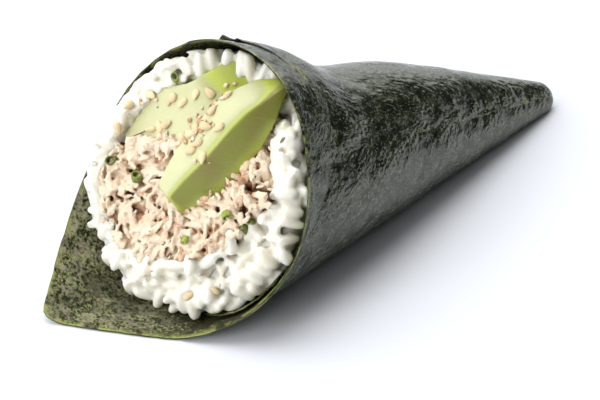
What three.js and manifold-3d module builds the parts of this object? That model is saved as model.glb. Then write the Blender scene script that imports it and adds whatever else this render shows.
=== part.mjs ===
// Temaki hand roll: half a sheet of nori rolled into a cone, lined with rice, with a core of tuna
// salad and two avocado slices across its mouth. It lies on its side. Millimetres, +Z up, tip at +X.
import * as THREE from 'three';
import { mergeVertices } from 'three/addons/utils/BufferGeometryUtils.js';
import Module from 'manifold-3d';

// ---- driving dimensions -------------------------------------------------------------------------
const SHEET_LENGTH = 190; // half a standard 210 x 190 sheet of nori, cut across its longer side
const SHEET_WIDTH = 105;
const SHEET_THICKNESS = 0.5; // moist, as it is around rice
const LAYER_PITCH = 0.9; // from one layer of the roll to the next, near the mouth
const CONE_HALF_ANGLE = THREE.MathUtils.degToRad(13.1);
const AXIS_PITCH = THREE.MathUtils.degToRad(15.19); // the cone's axis above the table, mouth upwards
const FLAP_CORNER = THREE.MathUtils.degToRad(-29.2); // where the free corner lies, from the underside
const TIP_CUT = 12; // the rolled tip ends this far short of the point that the cone aims at
const TIP_ROUND = 3; // over this length it closes up
const INNER_TIP = 8; // each inner turn starts this much further from the tip
const TUCK = 117; // the inner corner is folded away past this distance, under the rice
const FLAT_DEPTH = 1.2; // how far the cone sinks towards the table, which presses its underside flat
const TIGHT_RANGE = 40; // nearer the tip than this, the layers squeeze together
const WAIST_DEPTH = 3.4; // the outer wrap pulls the roll in behind its mouth, along the top
const WAIST_REACH = 82;
const FLAP_STEPS = 24; // columns of the sheet from its outer end to the free corner
const TIP_ROWS = [0, 0.04, 0.15]; // shares of the way to the first of the rows below
const BODY_ROWS = [30, 48, 62, 73, WAIST_REACH, 90]; // distances from the cone's point
const MOUTH_ROWS = [0.34, 0.67, 1]; // shares of the way from there to the sheet's edge

const LINING_CLEARANCE = 0.4;
const FILLING_GAP = 0.4;
const CORE_GAP = 0.5; // wider, because both sides of it are uneven
const RICE_START = 36; // distance from the cone's point to the first rice
const CORE_START = 48; // and to the first tuna
const ROUND_STEPS = 48;
const MOUTH_CENTRE = new THREE.Vector3(-105.8, 4, 25.4); // from the cone's point
const MOUTH_NORMAL = new THREE.Vector3(-0.877, -0.136, 0.461).normalize();
const RICE_STAND = 1.5; // how far the rice heaps out of the mouth
// Rings of the rice's front: share of the way inwards over its wall, and drop behind its crest.
const RICE_BROW = [[0, 2.2], [0.06, 1.1], [0.25, 0], [0.5, 0], [0.9, 0.5], [1.3, 6], [2.6, 12]];
const TUNA_STAND = 5;

// ---- the cone that the sheet is rolled to -------------------------------------------------------
const FULL_TURN = 2 * Math.PI;
const ALONG = new THREE.Vector3(-Math.cos(AXIS_PITCH), 0, Math.sin(AXIS_PITCH));
const DOWN = new THREE.Vector3(-Math.sin(AXIS_PITCH), 0, -Math.cos(AXIS_PITCH));
const NEAR = new THREE.Vector3(0, -1, 0);
const CORNER_ANGLE = Math.PI / 2 + Math.atan2(SHEET_LENGTH / 2, SHEET_WIDTH);
const ROLL_END = FLAP_CORNER - (Math.PI - CORNER_ANGLE) / Math.sin(CONE_HALF_ANGLE);
const ROLL_START = FLAP_CORNER + CORNER_ANGLE / Math.sin(CONE_HALF_ANGLE);
const ROLL_STEP = (FLAP_CORNER - ROLL_END) / FLAP_STEPS;

// A smooth hump of height 1 at one angle around the axis.
function hump(around, middle, width) {
  const turn = Math.atan2(Math.sin(around - middle), Math.cos(around - middle));
  return Math.exp(-((turn / width) ** 2));
}

// The roll isn't round: it sags, and opens wider towards its far side. It is fullest under its
// weight, so that it lies steadily on a broad flat.
function swell(around) {
  const sag = 0.105 * Math.cos(around) + 0.02 * Math.cos(2 * around);
  const opening = -0.28 * Math.sin(around) + 0.065 * Math.sin(2 * around);
  const foot = 0.04 * hump(around, -0.3, 0.3);
  return 1.033 + sag + opening + foot;
}

function waist(around, reach) {
  const length = reach < WAIST_REACH ? 14 : 9.5;
  return WAIST_DEPTH * hump(around, 3.7, 1.1) * Math.exp(-(((reach - WAIST_REACH) / length) ** 2));
}

function tipClosing(reach) {
  const left = Math.min(1, (reach - TIP_CUT) / TIP_ROUND);
  return 0.35 + 0.65 * Math.sqrt(1 - (1 - left) ** 2);
}

// A point of the cone: around its axis from the underside, out from its point, and in from its skin.
// The underside is pressed flat at the height of its floor.
function conePoint(around, reach, depth, floor) {
  const round = reach * Math.sin(CONE_HALF_ANGLE) * swell(around);
  const radius = round * tipClosing(reach) - waist(around, reach) - depth;
  const point = ALONG.clone().multiplyScalar(reach * Math.cos(CONE_HALF_ANGLE));
  point.addScaledVector(DOWN, radius * Math.cos(around));
  point.addScaledVector(NEAR, radius * Math.sin(around));
  point.z = Math.max(point.z - FLAT_DEPTH, floor);
  return point;
}

// How far the sheet reaches from the cone's point, at an angle of the flat sheet (0 to 180 degrees).
function sheetEdge(angle) {
  const toShortEdge = SHEET_LENGTH / 2 / Math.max(Math.abs(Math.cos(angle)), 1e-6);
  const toLongEdge = SHEET_WIDTH / Math.max(Math.sin(angle), 1e-6);
  const reach = Math.min(toShortEdge, toLongEdge);
  return angle < Math.PI / 2 ? Math.min(reach, TUCK) : reach;
}

function sheetAngle(around) {
  return Math.PI - (around - ROLL_END) * Math.sin(CONE_HALF_ANGLE);
}

function squeeze(reach) {
  return Math.min(1, reach / TIGHT_RANGE);
}

// ---- closed meshes from rows of points ----------------------------------------------------------
function meshGeometry(points, triangles) {
  const geometry = new THREE.BufferGeometry();
  const flat = points.flatMap((point) => [point.x, point.y, point.z]);
  geometry.setAttribute('position', new THREE.Float32BufferAttribute(flat, 3));
  geometry.setIndex(signedVolume(points, triangles) < 0 ? triangles.reverse() : triangles);
  geometry.computeVertexNormals();
  return geometry;
}

function signedVolume(points, triangles) {
  let sum = 0;
  for (let i = 0; i < triangles.length; i += 3) {
    const [a, b, c] = [0, 1, 2].map((k) => points[triangles[i + k]]);
    sum += a.dot(b.clone().cross(c)) / 6;
  }
  return sum;
}

// Rings of equally many points, joined in order and closed at both ends.
function loft(rings) {
  const count = rings[0].length;
  const points = rings.flat();
  const triangles = [];
  for (let ring = 0; ring + 1 < rings.length; ring += 1) {
    for (let i = 0; i < count; i += 1) {
      const next = (i + 1) % count;
      const [a, b] = [ring * count + i, ring * count + next];
      triangles.push(a, b, b + count, a, b + count, a + count);
    }
  }
  [0, rings.length - 1].forEach((ring) => {
    const hub = points.length;
    points.push(centreOf(rings[ring]));
    for (let i = 0; i < count; i += 1) {
      const [a, b] = [ring * count + i, ring * count + ((i + 1) % count)];
      triangles.push(...(ring === 0 ? [hub, b, a] : [hub, a, b]));
    }
  });
  return meshGeometry(points, triangles);
}

function centreOf(ring) {
  const centre = new THREE.Vector3();
  ring.forEach((point) => centre.add(point));
  return centre.divideScalar(ring.length);
}

// A sheet with thickness: two faces of the same rows and columns, joined around their border.
function plate(outerFace, innerFace) {
  const rows = outerFace.length;
  const columns = outerFace[0].length;
  const points = [...outerFace.flat(), ...innerFace.flat()];
  const inner = rows * columns;
  const at = (row, column) => row * columns + column;
  const triangles = [];
  for (let row = 0; row + 1 < rows; row += 1) {
    for (let column = 0; column + 1 < columns; column += 1) {
      const [a, b] = [at(row, column), at(row, column + 1)];
      const [c, d] = [at(row + 1, column + 1), at(row + 1, column)];
      triangles.push(a, b, c, a, c, d);
      triangles.push(inner + a, inner + c, inner + b, inner + a, inner + d, inner + c);
    }
  }
  const border = [];
  for (let column = 0; column < columns; column += 1) border.push(at(0, column));
  for (let row = 1; row < rows; row += 1) border.push(at(row, columns - 1));
  for (let column = columns - 2; column >= 0; column -= 1) border.push(at(rows - 1, column));
  for (let row = rows - 2; row > 0; row -= 1) border.push(at(row, 0));
  border.forEach((a, i) => {
    const b = border[(i + 1) % border.length];
    triangles.push(b, a, inner + a, b, inner + a, inner + b);
  });
  return meshGeometry(points, triangles);
}

// ---- nori ---------------------------------------------------------------------------------------
// One sheet, wound a little over two turns. Each layer lies deeper than the one rolled over it.
function noriGeometry() {
  const faces = [0, 1].map((side) => {
    const rows = [];
    for (let around = ROLL_END; around < ROLL_START + ROLL_STEP; around += ROLL_STEP) {
      rows.push(noriRow(Math.min(around, ROLL_START), side));
    }
    return rows;
  });
  return plate(faces[0], faces[1]);
}

function noriRow(around, side) {
  const turns = (around - ROLL_END) / FULL_TURN;
  const tip = TIP_CUT + INNER_TIP * Math.max(0, turns - 1);
  const edge = sheetEdge(sheetAngle(around));
  const reaches = [
    ...TIP_ROWS.map((share) => THREE.MathUtils.lerp(tip, BODY_ROWS[0], share)),
    ...BODY_ROWS,
    ...MOUTH_ROWS.map((share) => THREE.MathUtils.lerp(BODY_ROWS.at(-1), edge, share)),
  ];
  const layersBelow = Math.round(around / FULL_TURN);
  return reaches.map((reach) => {
    const face = side * SHEET_THICKNESS;
    const depth = squeeze(reach) * (turns * LAYER_PITCH + face);
    const floor = squeeze(reach) * (layersBelow * LAYER_PITCH + face);
    return conePoint(around, reach, depth, floor);
  });
}

// ---- filling ------------------------------------------------------------------------------------
const LAYERS = (ROLL_START - ROLL_END) / FULL_TURN;
const LINING_DEPTH = LAYERS * LAYER_PITCH + SHEET_THICKNESS + LINING_CLEARANCE;
const LINING_FLOOR = LINING_DEPTH - LAYER_PITCH;

function coreLine(reach) {
  const centre = ALONG.clone().multiplyScalar(reach * Math.cos(CONE_HALF_ANGLE));
  centre.addScaledVector(NEAR, -0.28 * reach * Math.sin(CONE_HALF_ANGLE));
  return centre;
}

// A point of the filling: share 0 is its middle and 1 its skin against the nori.
function fillingPoint(around, reach, share) {
  const middle = coreLine(reach);
  return middle.lerp(conePoint(around, reach, LINING_DEPTH, LINING_FLOOR), share);
}

// The same, where it stands a given distance proud of the mouth's plane.
function frontPoint(around, share, stand) {
  let reach = MOUTH_CENTRE.length();
  let point = fillingPoint(around, reach, share);
  for (let pass = 0; pass < 6; pass += 1) {
    const proud = point.clone().sub(MOUTH_CENTRE).dot(MOUTH_NORMAL);
    reach += stand - proud;
    point = fillingPoint(around, reach, share);
  }
  return point;
}

function ringOf(makePoint) {
  return Array.from({ length: ROUND_STEPS }, (_, i) => makePoint((i * FULL_TURN) / ROUND_STEPS));
}

// The rice wall is thickest under the top of the roll, and thin at its far side.
function coreShare(around) {
  const wide = 0.17 * hump(around, -1.1, 0.9) + 0.06 * hump(around, 1.66, 0.5);
  const narrow = 0.1 * hump(around, 0.6, 0.6) + 0.05 * hump(around, 3.3, 0.9);
  return 0.74 + wide - narrow + 0.015 * Math.sin(5 * around + 1);
}

// An uneven surface: waves a few millimetres long that follow no direction.
function lumps(point, height) {
  const broad = Math.sin(0.62 * point.y + 0.9) * Math.cos(0.55 * point.z - 0.4);
  const fine = Math.sin(1.13 * point.y - 0.7 * point.z) * Math.cos(0.98 * point.z + 0.5 * point.y);
  return height * (0.6 * broad + 0.4 * fine);
}

// Clumps of grains along the rice's rim. It spills onto the flap, and lies back from the edge above.
function riceStand(around, share) {
  const spill = 4 * hump(around, -0.95, 0.75) + 1.5 * hump(around, 0.05, 0.35);
  const back = 2.6 * hump(around, 3.4, 1) + 2 * hump(around, 2.75, 0.35);
  return RICE_STAND + spill * share ** 2 - back + lumps(frontPoint(around, share, 0), 0.9);
}

// The rice is made whole here. What lies in it is cut out of it further down.
function riceGeometry() {
  const rings = [RICE_START, ...BODY_ROWS.slice(1), 96].map((reach) => (
    ringOf((around) => fillingPoint(around, reach, 1))
  ));
  RICE_BROW.forEach(([inward, drop]) => {
    rings.push(ringOf((around) => {
      const share = THREE.MathUtils.lerp(1, coreShare(around), inward);
      return frontPoint(around, share, riceStand(around, share) - drop);
    }));
  });
  return loft(rings);
}

// The tuna bulges out of the lower half of the mouth, and lies back under the avocado above.
function tunaStand(around, share) {
  const bulge = TUNA_STAND * (0.32 + 0.9 * share * Math.cos(around + 0.3));
  return bulge - 1.5 * share ** 6;
}

function tunaGeometry() {
  const rings = [CORE_START, 66, 84].map((reach) => (
    ringOf((around) => fillingPoint(around, reach, coreShare(around)))
  ));
  for (const part of [1, 0.92, 0.78, 0.6, 0.4, 0.2]) {
    rings.push(ringOf((around) => {
      const share = part * coreShare(around);
      const flakes = lumps(frontPoint(around, share, 0), 2.2);
      return frontPoint(around, share, tunaStand(around, part) + flakes);
    }));
  }
  return loft(rings);
}

// An avocado slice follows its ridge, where its two cut faces meet. Its broad face runs off to one
// side and its other face down the other side, and both narrow towards its ends.
const FRONT_SLICE = {
  ridge: [
    [-117.5, 8.1, 23.2],
    [-109.3, 2.5, 33.6],
    [-102.8, 0.3, 39.7],
    [-96.4, -1.9, 42.6],
    [-92.6, -1.5, 39.6],
  ],
  faceWay: [0.24, 0.96, 0.1],
  faceWidth: 8.4,
  sideWay: [0.54, -0.63, -0.57],
  sideWidth: 9.5,
  endGirth: 0.55,
};
const BACK_SLICE = {
  ridge: [
    [-112.2, 25.5, 26],
    [-110, 18.4, 29.2],
    [-106, 11.1, 32.3],
    [-97, 5, 36.8],
  ],
  faceWay: [0.62, 0.42, 0.66],
  faceWidth: 12,
  sideWay: [0.74, 0.12, -0.5],
  sideWidth: 6,
  endGirth: 0.66,
};
const SLICE_STEPS = 14;
const SLICE_CORNER = 0.16;

function sliceGeometry(slice) {
  const path = new THREE.CatmullRomCurve3(slice.ridge.map((point) => new THREE.Vector3(...point)));
  const face = new THREE.Vector3(...slice.faceWay).normalize().multiplyScalar(slice.faceWidth);
  const side = new THREE.Vector3(...slice.sideWay).normalize().multiplyScalar(slice.sideWidth);
  const outline = sliceOutline();
  const rings = [];
  for (let step = 0; step <= SLICE_STEPS; step += 1) {
    const place = step / SLICE_STEPS;
    const girth = slice.endGirth + (1 - slice.endGirth) * Math.sin(Math.PI * place) ** 0.6;
    const start = path.getPointAt(place);
    const shrink = (1 - girth) / 2;
    rings.push(outline.map(([u, v]) => start.clone()
      .addScaledVector(face, shrink + u * girth)
      .addScaledVector(side, shrink + v * girth)));
  }
  return loft(rings);
}

// A four-sided section with its corners cut round: the outer side, away from the ridge, is fuller.
function sliceOutline() {
  const corners = [[0, 0], [1, 0], [0.95, 0.85], [0, 1]];
  return corners.flatMap((corner, i) => {
    const before = corners[(i + 3) % 4];
    const after = corners[(i + 1) % 4];
    const toward = (other) => corner.map((value, k) => value + (other[k] - value) * SLICE_CORNER);
    const bend = corner.map((value, k) => before[k] + after[k] - 2 * value);
    const cut = corner.map((value, k) => value + bend[k] * SLICE_CORNER * 0.3);
    return [toward(before), cut, toward(after)];
  });
}

// ---- cutting the filling clear of the slices ----------------------------------------------------
const wasm = await Module();
wasm.setup();

// The room that a piece takes up, with a gap around it.
function roomFor(geometry, gap) {
  const room = geometry.clone();
  const { position, normal } = room.attributes;
  const outward = new THREE.Vector3();
  const point = new THREE.Vector3();
  for (let i = 0; i < position.count; i += 1) {
    outward.fromBufferAttribute(normal, i);
    point.fromBufferAttribute(position, i).addScaledVector(outward, gap);
    position.setXYZ(i, point.x, point.y, point.z);
  }
  return room;
}

function toSolid(geometry) {
  const bare = geometry.clone();
  bare.deleteAttribute('normal');
  const merged = mergeVertices(bare, 1e-5);
  return new wasm.Manifold(new wasm.Mesh({
    numProp: 3,
    vertProperties: new Float32Array(merged.attributes.position.array),
    triVerts: new Uint32Array(merged.index.array),
  }));
}

function toGeometry(solid) {
  const result = solid.getMesh();
  const geometry = new THREE.BufferGeometry();
  geometry.setAttribute('position', new THREE.BufferAttribute(result.vertProperties, 3));
  geometry.setIndex(new THREE.BufferAttribute(result.triVerts, 1));
  geometry.computeVertexNormals();
  return geometry;
}

function largestPiece(solid) {
  const pieces = solid.decompose();
  return pieces.reduce((best, piece) => (piece.volume() > best.volume() ? piece : best));
}

function cutClear(geometry, ...others) {
  const cutters = others.map(toSolid);
  const rest = cutters.reduce((solid, cutter) => solid.subtract(cutter), toSolid(geometry));
  return toGeometry(largestPiece(rest));
}

// ---- the roll -----------------------------------------------------------------------------------
const frontSlice = sliceGeometry(FRONT_SLICE);
const frontRoom = roomFor(frontSlice, FILLING_GAP);
const backSlice = cutClear(sliceGeometry(BACK_SLICE), frontRoom);
const backRoom = roomFor(sliceGeometry(BACK_SLICE), FILLING_GAP);
const core = tunaGeometry();
const tuna = cutClear(core, frontRoom, backRoom);
const rice = cutClear(riceGeometry(), roomFor(core, CORE_GAP), frontRoom, backRoom);

const pieces = [
  { name: 'nori', geometry: noriGeometry(), color: 0x2a2f20, roughness: 0.45 },
  { name: 'rice', geometry: rice, color: 0xeeebdf, roughness: 0.4 },
  { name: 'tuna_salad', geometry: tuna, color: 0xd2b99c, roughness: 0.6 },
  { name: 'avocado_slice_front', geometry: frontSlice, color: 0xc6cc76, roughness: 0.4 },
  { name: 'avocado_slice_back', geometry: backSlice, color: 0xdcd99c, roughness: 0.4 },
];

const roll = new THREE.Group();
for (const piece of pieces) {
  const material = new THREE.MeshStandardMaterial({
    color: piece.color,
    roughness: piece.roughness,
    metalness: 0,
  });
  const mesh = new THREE.Mesh(piece.geometry, material);
  mesh.name = piece.name;
  roll.add(mesh);
}

// The origin is under the middle of the roll, on the table.
const extent = new THREE.Box3().setFromObject(roll);
const middle = extent.getCenter(new THREE.Vector3());
roll.position.set(-middle.x, -middle.y, -extent.min.z);

export default roll;
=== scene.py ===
import math

import bmesh
import bpy
import numpy as np
from bpy.props import FloatProperty, FloatVectorProperty, IntProperty, PointerProperty
from mathutils import Matrix, Vector, noise
from mathutils.bvhtree import BVHTree
from mathutils.kdtree import KDTree


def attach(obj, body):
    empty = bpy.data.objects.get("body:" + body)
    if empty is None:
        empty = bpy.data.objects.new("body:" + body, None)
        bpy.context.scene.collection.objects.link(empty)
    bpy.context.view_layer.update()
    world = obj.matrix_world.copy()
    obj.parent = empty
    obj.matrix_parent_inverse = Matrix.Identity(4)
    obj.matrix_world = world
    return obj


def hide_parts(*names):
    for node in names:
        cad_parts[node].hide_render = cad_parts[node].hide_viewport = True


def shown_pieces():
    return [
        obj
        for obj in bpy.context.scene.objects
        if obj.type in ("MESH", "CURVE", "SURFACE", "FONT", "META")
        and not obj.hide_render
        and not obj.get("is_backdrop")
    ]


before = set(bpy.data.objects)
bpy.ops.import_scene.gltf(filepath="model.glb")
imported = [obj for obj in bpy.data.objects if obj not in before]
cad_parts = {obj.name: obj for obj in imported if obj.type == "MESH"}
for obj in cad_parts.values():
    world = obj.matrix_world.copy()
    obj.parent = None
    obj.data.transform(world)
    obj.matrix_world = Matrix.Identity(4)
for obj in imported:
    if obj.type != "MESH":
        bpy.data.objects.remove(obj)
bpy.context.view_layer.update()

bl_info = {
    "name": "Temaki Hand Roll",
    "version": (1, 0, 0),
    "blender": (4, 5, 0),
    "location": "3D Viewport > Sidebar > Hand Roll",
    "description": "Makes a hand roll of nori, rice, tuna salad and avocado, and a stage for it",
    "category": "Add Mesh",
}

MM = 0.001
FULL_TURN = 2 * math.pi

# ---- the winding of the sheet, as the solids have it --------------------------------------------
# Distances along the cone are from its point. Places around it are from its underside.
APEX = np.array([76.561, -7.193, 0.0]) * MM  # the point that the cone aims at
TIP_CUT = 12 * MM  # where the rolled tip ends
TIP_ROUND = 3 * MM  # over this length it closes up
TIP_OPENING = 0.35  # of the tip's width, left when it has closed
INNER_TIP = 8 * MM  # each inner turn starts this much further on
TUCK = 117 * MM  # the inner corner is folded away past this distance, under the rice
FLAT_DEPTH = 1.2 * MM  # how far the cone sinks towards its rest, which presses its underside flat
TIGHT_RANGE = 40 * MM  # nearer than this, the layers squeeze together
CORNER_SHARPNESS = 150

# The cone's girth is this share of a round one's, with its sag, its opening and its foot.
MEAN_GIRTH = 1.033
SAG = (0.105, 0.02)  # towards the underside: all of it, and of its flattening
OPENING = (-0.28, 0.065)  # towards the far side: all of it, and of its upward turn
FOOT = 0.04
FOOT_SPAN = (-0.3, 0.3)  # where it is around the cone, and how wide
RIDGE = 0.065  # a soft fold along the near side
RIDGE_SPAN = (1.62, 0.62)
RIDGE_FADE = (78 * MM, 100 * MM)
WAIST_DEPTH = 3.4 * MM  # the outer wrap pulls the roll in behind its mouth, along the top
WAIST_SPAN = (3.7, 1.1)
WAIST_REACH = 82 * MM
WAIST_LENGTHS = (14 * MM, 9.5 * MM)  # towards the tip and towards the mouth

MOUTH_CENTRE = APEX + np.array([-105.8, 4, 25.4]) * MM
MOUTH_NORMAL = np.array([-0.877, -0.136, 0.461])
MOUTH_NORMAL = MOUTH_NORMAL / np.linalg.norm(MOUTH_NORMAL)


def hump(around, middle, width):
    """A smooth hump of height 1 at one angle around the axis."""
    turn = np.arctan2(np.sin(around - middle), np.cos(around - middle))
    return np.exp(-((turn / width) ** 2))


def swell(around):
    """The roll isn't round: it sags onto its foot, and opens wider towards its far side."""
    sag = SAG[0] * np.cos(around) + SAG[1] * np.cos(2 * around)
    opening = OPENING[0] * np.sin(around) + OPENING[1] * np.sin(2 * around)
    return MEAN_GIRTH + sag + opening + FOOT * hump(around, *FOOT_SPAN)


def waist(around, reach):
    """How far the outer wrap pulls the roll in behind its mouth."""
    length = np.where(reach < WAIST_REACH, *WAIST_LENGTHS)
    profile = np.exp(-(((reach - WAIST_REACH) / length) ** 2))
    return WAIST_DEPTH * hump(around, *WAIST_SPAN) * profile


def fold(around, reach):
    """A soft fold along the near side of the roll, which fades out before the mouth."""
    left = np.clip((RIDGE_FADE[1] - reach) / (RIDGE_FADE[1] - RIDGE_FADE[0]), 0, 1)
    return RIDGE * hump(around, *RIDGE_SPAN) * left * left * (3 - 2 * left)


class Winding:
    """The cone that the half sheet is wound to. Angles run around its axis from the underside."""

    def __init__(self, sheet):
        self.sheet = sheet
        pitch = sheet.axis_pitch
        self.along = np.array([-math.cos(pitch), 0, math.sin(pitch)])
        self.down = np.array([-math.sin(pitch), 0, -math.cos(pitch)])
        self.near = np.array([0, -1, 0])
        self.sine = math.sin(sheet.half_angle)
        corner = math.pi / 2 + math.atan2(sheet.length / 2, sheet.width)
        self.end = sheet.flap_corner - (math.pi - corner) / self.sine
        self.start = sheet.flap_corner + corner / self.sine

    def flat_angle(self, around):
        """The angle of the flat sheet that lies at an angle around the axis."""
        return math.pi - (around - self.end) * self.sine

    def edge(self, angle):
        """How far the sheet reaches from the cone's point. Its corners are a little rounded."""
        short = self.sheet.length / 2 / np.maximum(np.abs(np.cos(angle)), 1e-6)
        long = self.sheet.width / np.maximum(np.sin(angle), 1e-6)
        reach = (short**-CORNER_SHARPNESS + long**-CORNER_SHARPNESS) ** (-1 / CORNER_SHARPNESS)
        return np.where(angle < math.pi / 2, np.minimum(reach, TUCK), reach)

    def point(self, around, reach, depth, floor):
        """Points of the cone, in from its skin. The underside is pressed flat at its floor."""
        left = np.clip((reach - TIP_CUT) / TIP_ROUND, 0, 1)
        closing = TIP_OPENING + (1 - TIP_OPENING) * np.sqrt(1 - (1 - left) ** 2)
        girth = swell(around) + fold(around, reach)
        radius = reach * self.sine * girth * closing - waist(around, reach) - depth
        place = np.outer(reach * math.cos(self.sheet.half_angle), self.along)
        place += np.outer(radius * np.cos(around), self.down)
        place += np.outer(radius * np.sin(around), self.near)
        place[:, 2] = np.maximum(place[:, 2] - FLAT_DEPTH, floor)
        return place + APEX


# ---- settings -----------------------------------------------------------------------------------
def length_setting(name, description, default):
    return FloatProperty(
        name=name, description=description, default=default, unit="LENGTH", precision=5
    )


def angle_setting(name, description, degrees):
    return FloatProperty(
        name=name, description=description, default=math.radians(degrees), subtype="ANGLE"
    )


def colour_setting(name, description, default):
    return FloatVectorProperty(
        name=name, description=description, default=default, subtype="COLOR", size=3, min=0, max=1
    )


class HandRollSheet(bpy.types.PropertyGroup):
    """The half sheet of nori and how it is wound."""

    length: length_setting("Length", "Long side of the half sheet", 0.190)
    width: length_setting("Width", "Short side of the half sheet", 0.105)
    thickness: length_setting("Thickness", "Thickness of the moist sheet", 0.0005)
    layer_pitch: length_setting("Layer Pitch", "From one layer of the roll to the next", 0.00065)
    half_angle: angle_setting("Half Angle", "From the cone's axis to its side", 13.1)
    axis_pitch: angle_setting("Axis Pitch", "How far the axis rises towards the mouth", 15.19)
    flap_corner: angle_setting("Flap Corner", "Where the sheet's free corner lies", -29.2)


class HandRollFilling(bpy.types.PropertyGroup):
    """Sizes of the small things in the filling."""

    grain_length: length_setting("Grain Length", "Length of a cooked grain of rice", 0.0057)
    grain_width: length_setting("Grain Width", "Width of a cooked grain of rice", 0.0027)
    flake_length: length_setting("Flake Length", "Length of a large flake of tuna", 0.0042)
    sesame_length: length_setting("Sesame Length", "Length of a sesame seed", 0.0027)
    chive_width: length_setting("Chive Width", "Width of a ring of chive", 0.0024)
    seed: IntProperty(name="Seed", description="Chooses how small things lie", default=7, min=0)


class HandRollColours(bpy.types.PropertyGroup):
    """Colours of the food and the floor."""

    nori_dark: colour_setting("Nori Dark", "Smooth outer side of the nori", (0.0035, 0.0045, 0.002))
    nori_olive: colour_setting("Nori Olive", "Thinner places in the nori", (0.02, 0.027, 0.007))
    nori_fleck: colour_setting("Nori Fleck", "Pale flecks in the nori", (0.13, 0.14, 0.085))
    nori_green: colour_setting("Nori Green", "Green spots in the nori", (0.06, 0.09, 0.012))
    flap: colour_setting("Flap", "Rough inner side of the nori", (0.055, 0.05, 0.021))
    # Flap Dark is both the dark patches of the inner side and painted shade towards the rice
    flap_dark_and_shade: colour_setting("Flap Dark", "Dark patches in the inner side", (0.008, 0.008, 0.003))
    flap_haze: colour_setting("Flap Haze", "Dull places in the inner side", (0.31, 0.285, 0.185))
    # Torn Edge is the paleness of cut edges and also a painted highlight on the flared rim's inner
    # side
    torn_edge_and_highlight: colour_setting("Torn Edge", "Cut edges of the nori", (0.33, 0.36, 0.09))
    rice: colour_setting("Rice", "Cooked rice", (0.86, 0.85, 0.79))
    tuna_pale: colour_setting("Tuna Pale", "Tuna with dressing on it", (0.84, 0.70, 0.53))
    tuna_mid: colour_setting("Tuna", "Bare flakes of tuna", (0.70, 0.47, 0.31))
    tuna_brown: colour_setting("Tuna Brown", "Darker flakes of tuna", (0.50, 0.27, 0.13))
    # Tuna Deep is painted shade in the crevices between flakes
    tuna_crevice_shade: colour_setting("Tuna Deep", "Crevices between flakes", (0.26, 0.14, 0.075))
    avocado_pale: colour_setting("Avocado Pale", "Flesh near the stone", (0.57, 0.575, 0.33))
    avocado_green: colour_setting("Avocado Green", "Flesh under the skin", (0.25, 0.275, 0.045))
    avocado_brown: colour_setting("Avocado Brown", "Bruises under the skin", (0.27, 0.21, 0.06))
    avocado_lime: colour_setting("Avocado Lime", "Bright line along the ridge", (0.46, 0.53, 0.05))
    sesame: colour_setting("Sesame", "Sesame seeds", (0.86, 0.68, 0.4))
    chive: colour_setting("Chive", "Cut chives", (0.36, 0.45, 0.06))
    floor: colour_setting("Floor", "The floor under the roll", (0.78, 0.80, 0.84))


def settings():
    return bpy.context.scene.hand_roll


class HandRollSettings(bpy.types.PropertyGroup):
    """All settings of the hand roll."""

    sheet: PointerProperty(type=HandRollSheet)
    filling: PointerProperty(type=HandRollFilling)
    colours: PointerProperty(type=HandRollColours)


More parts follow.
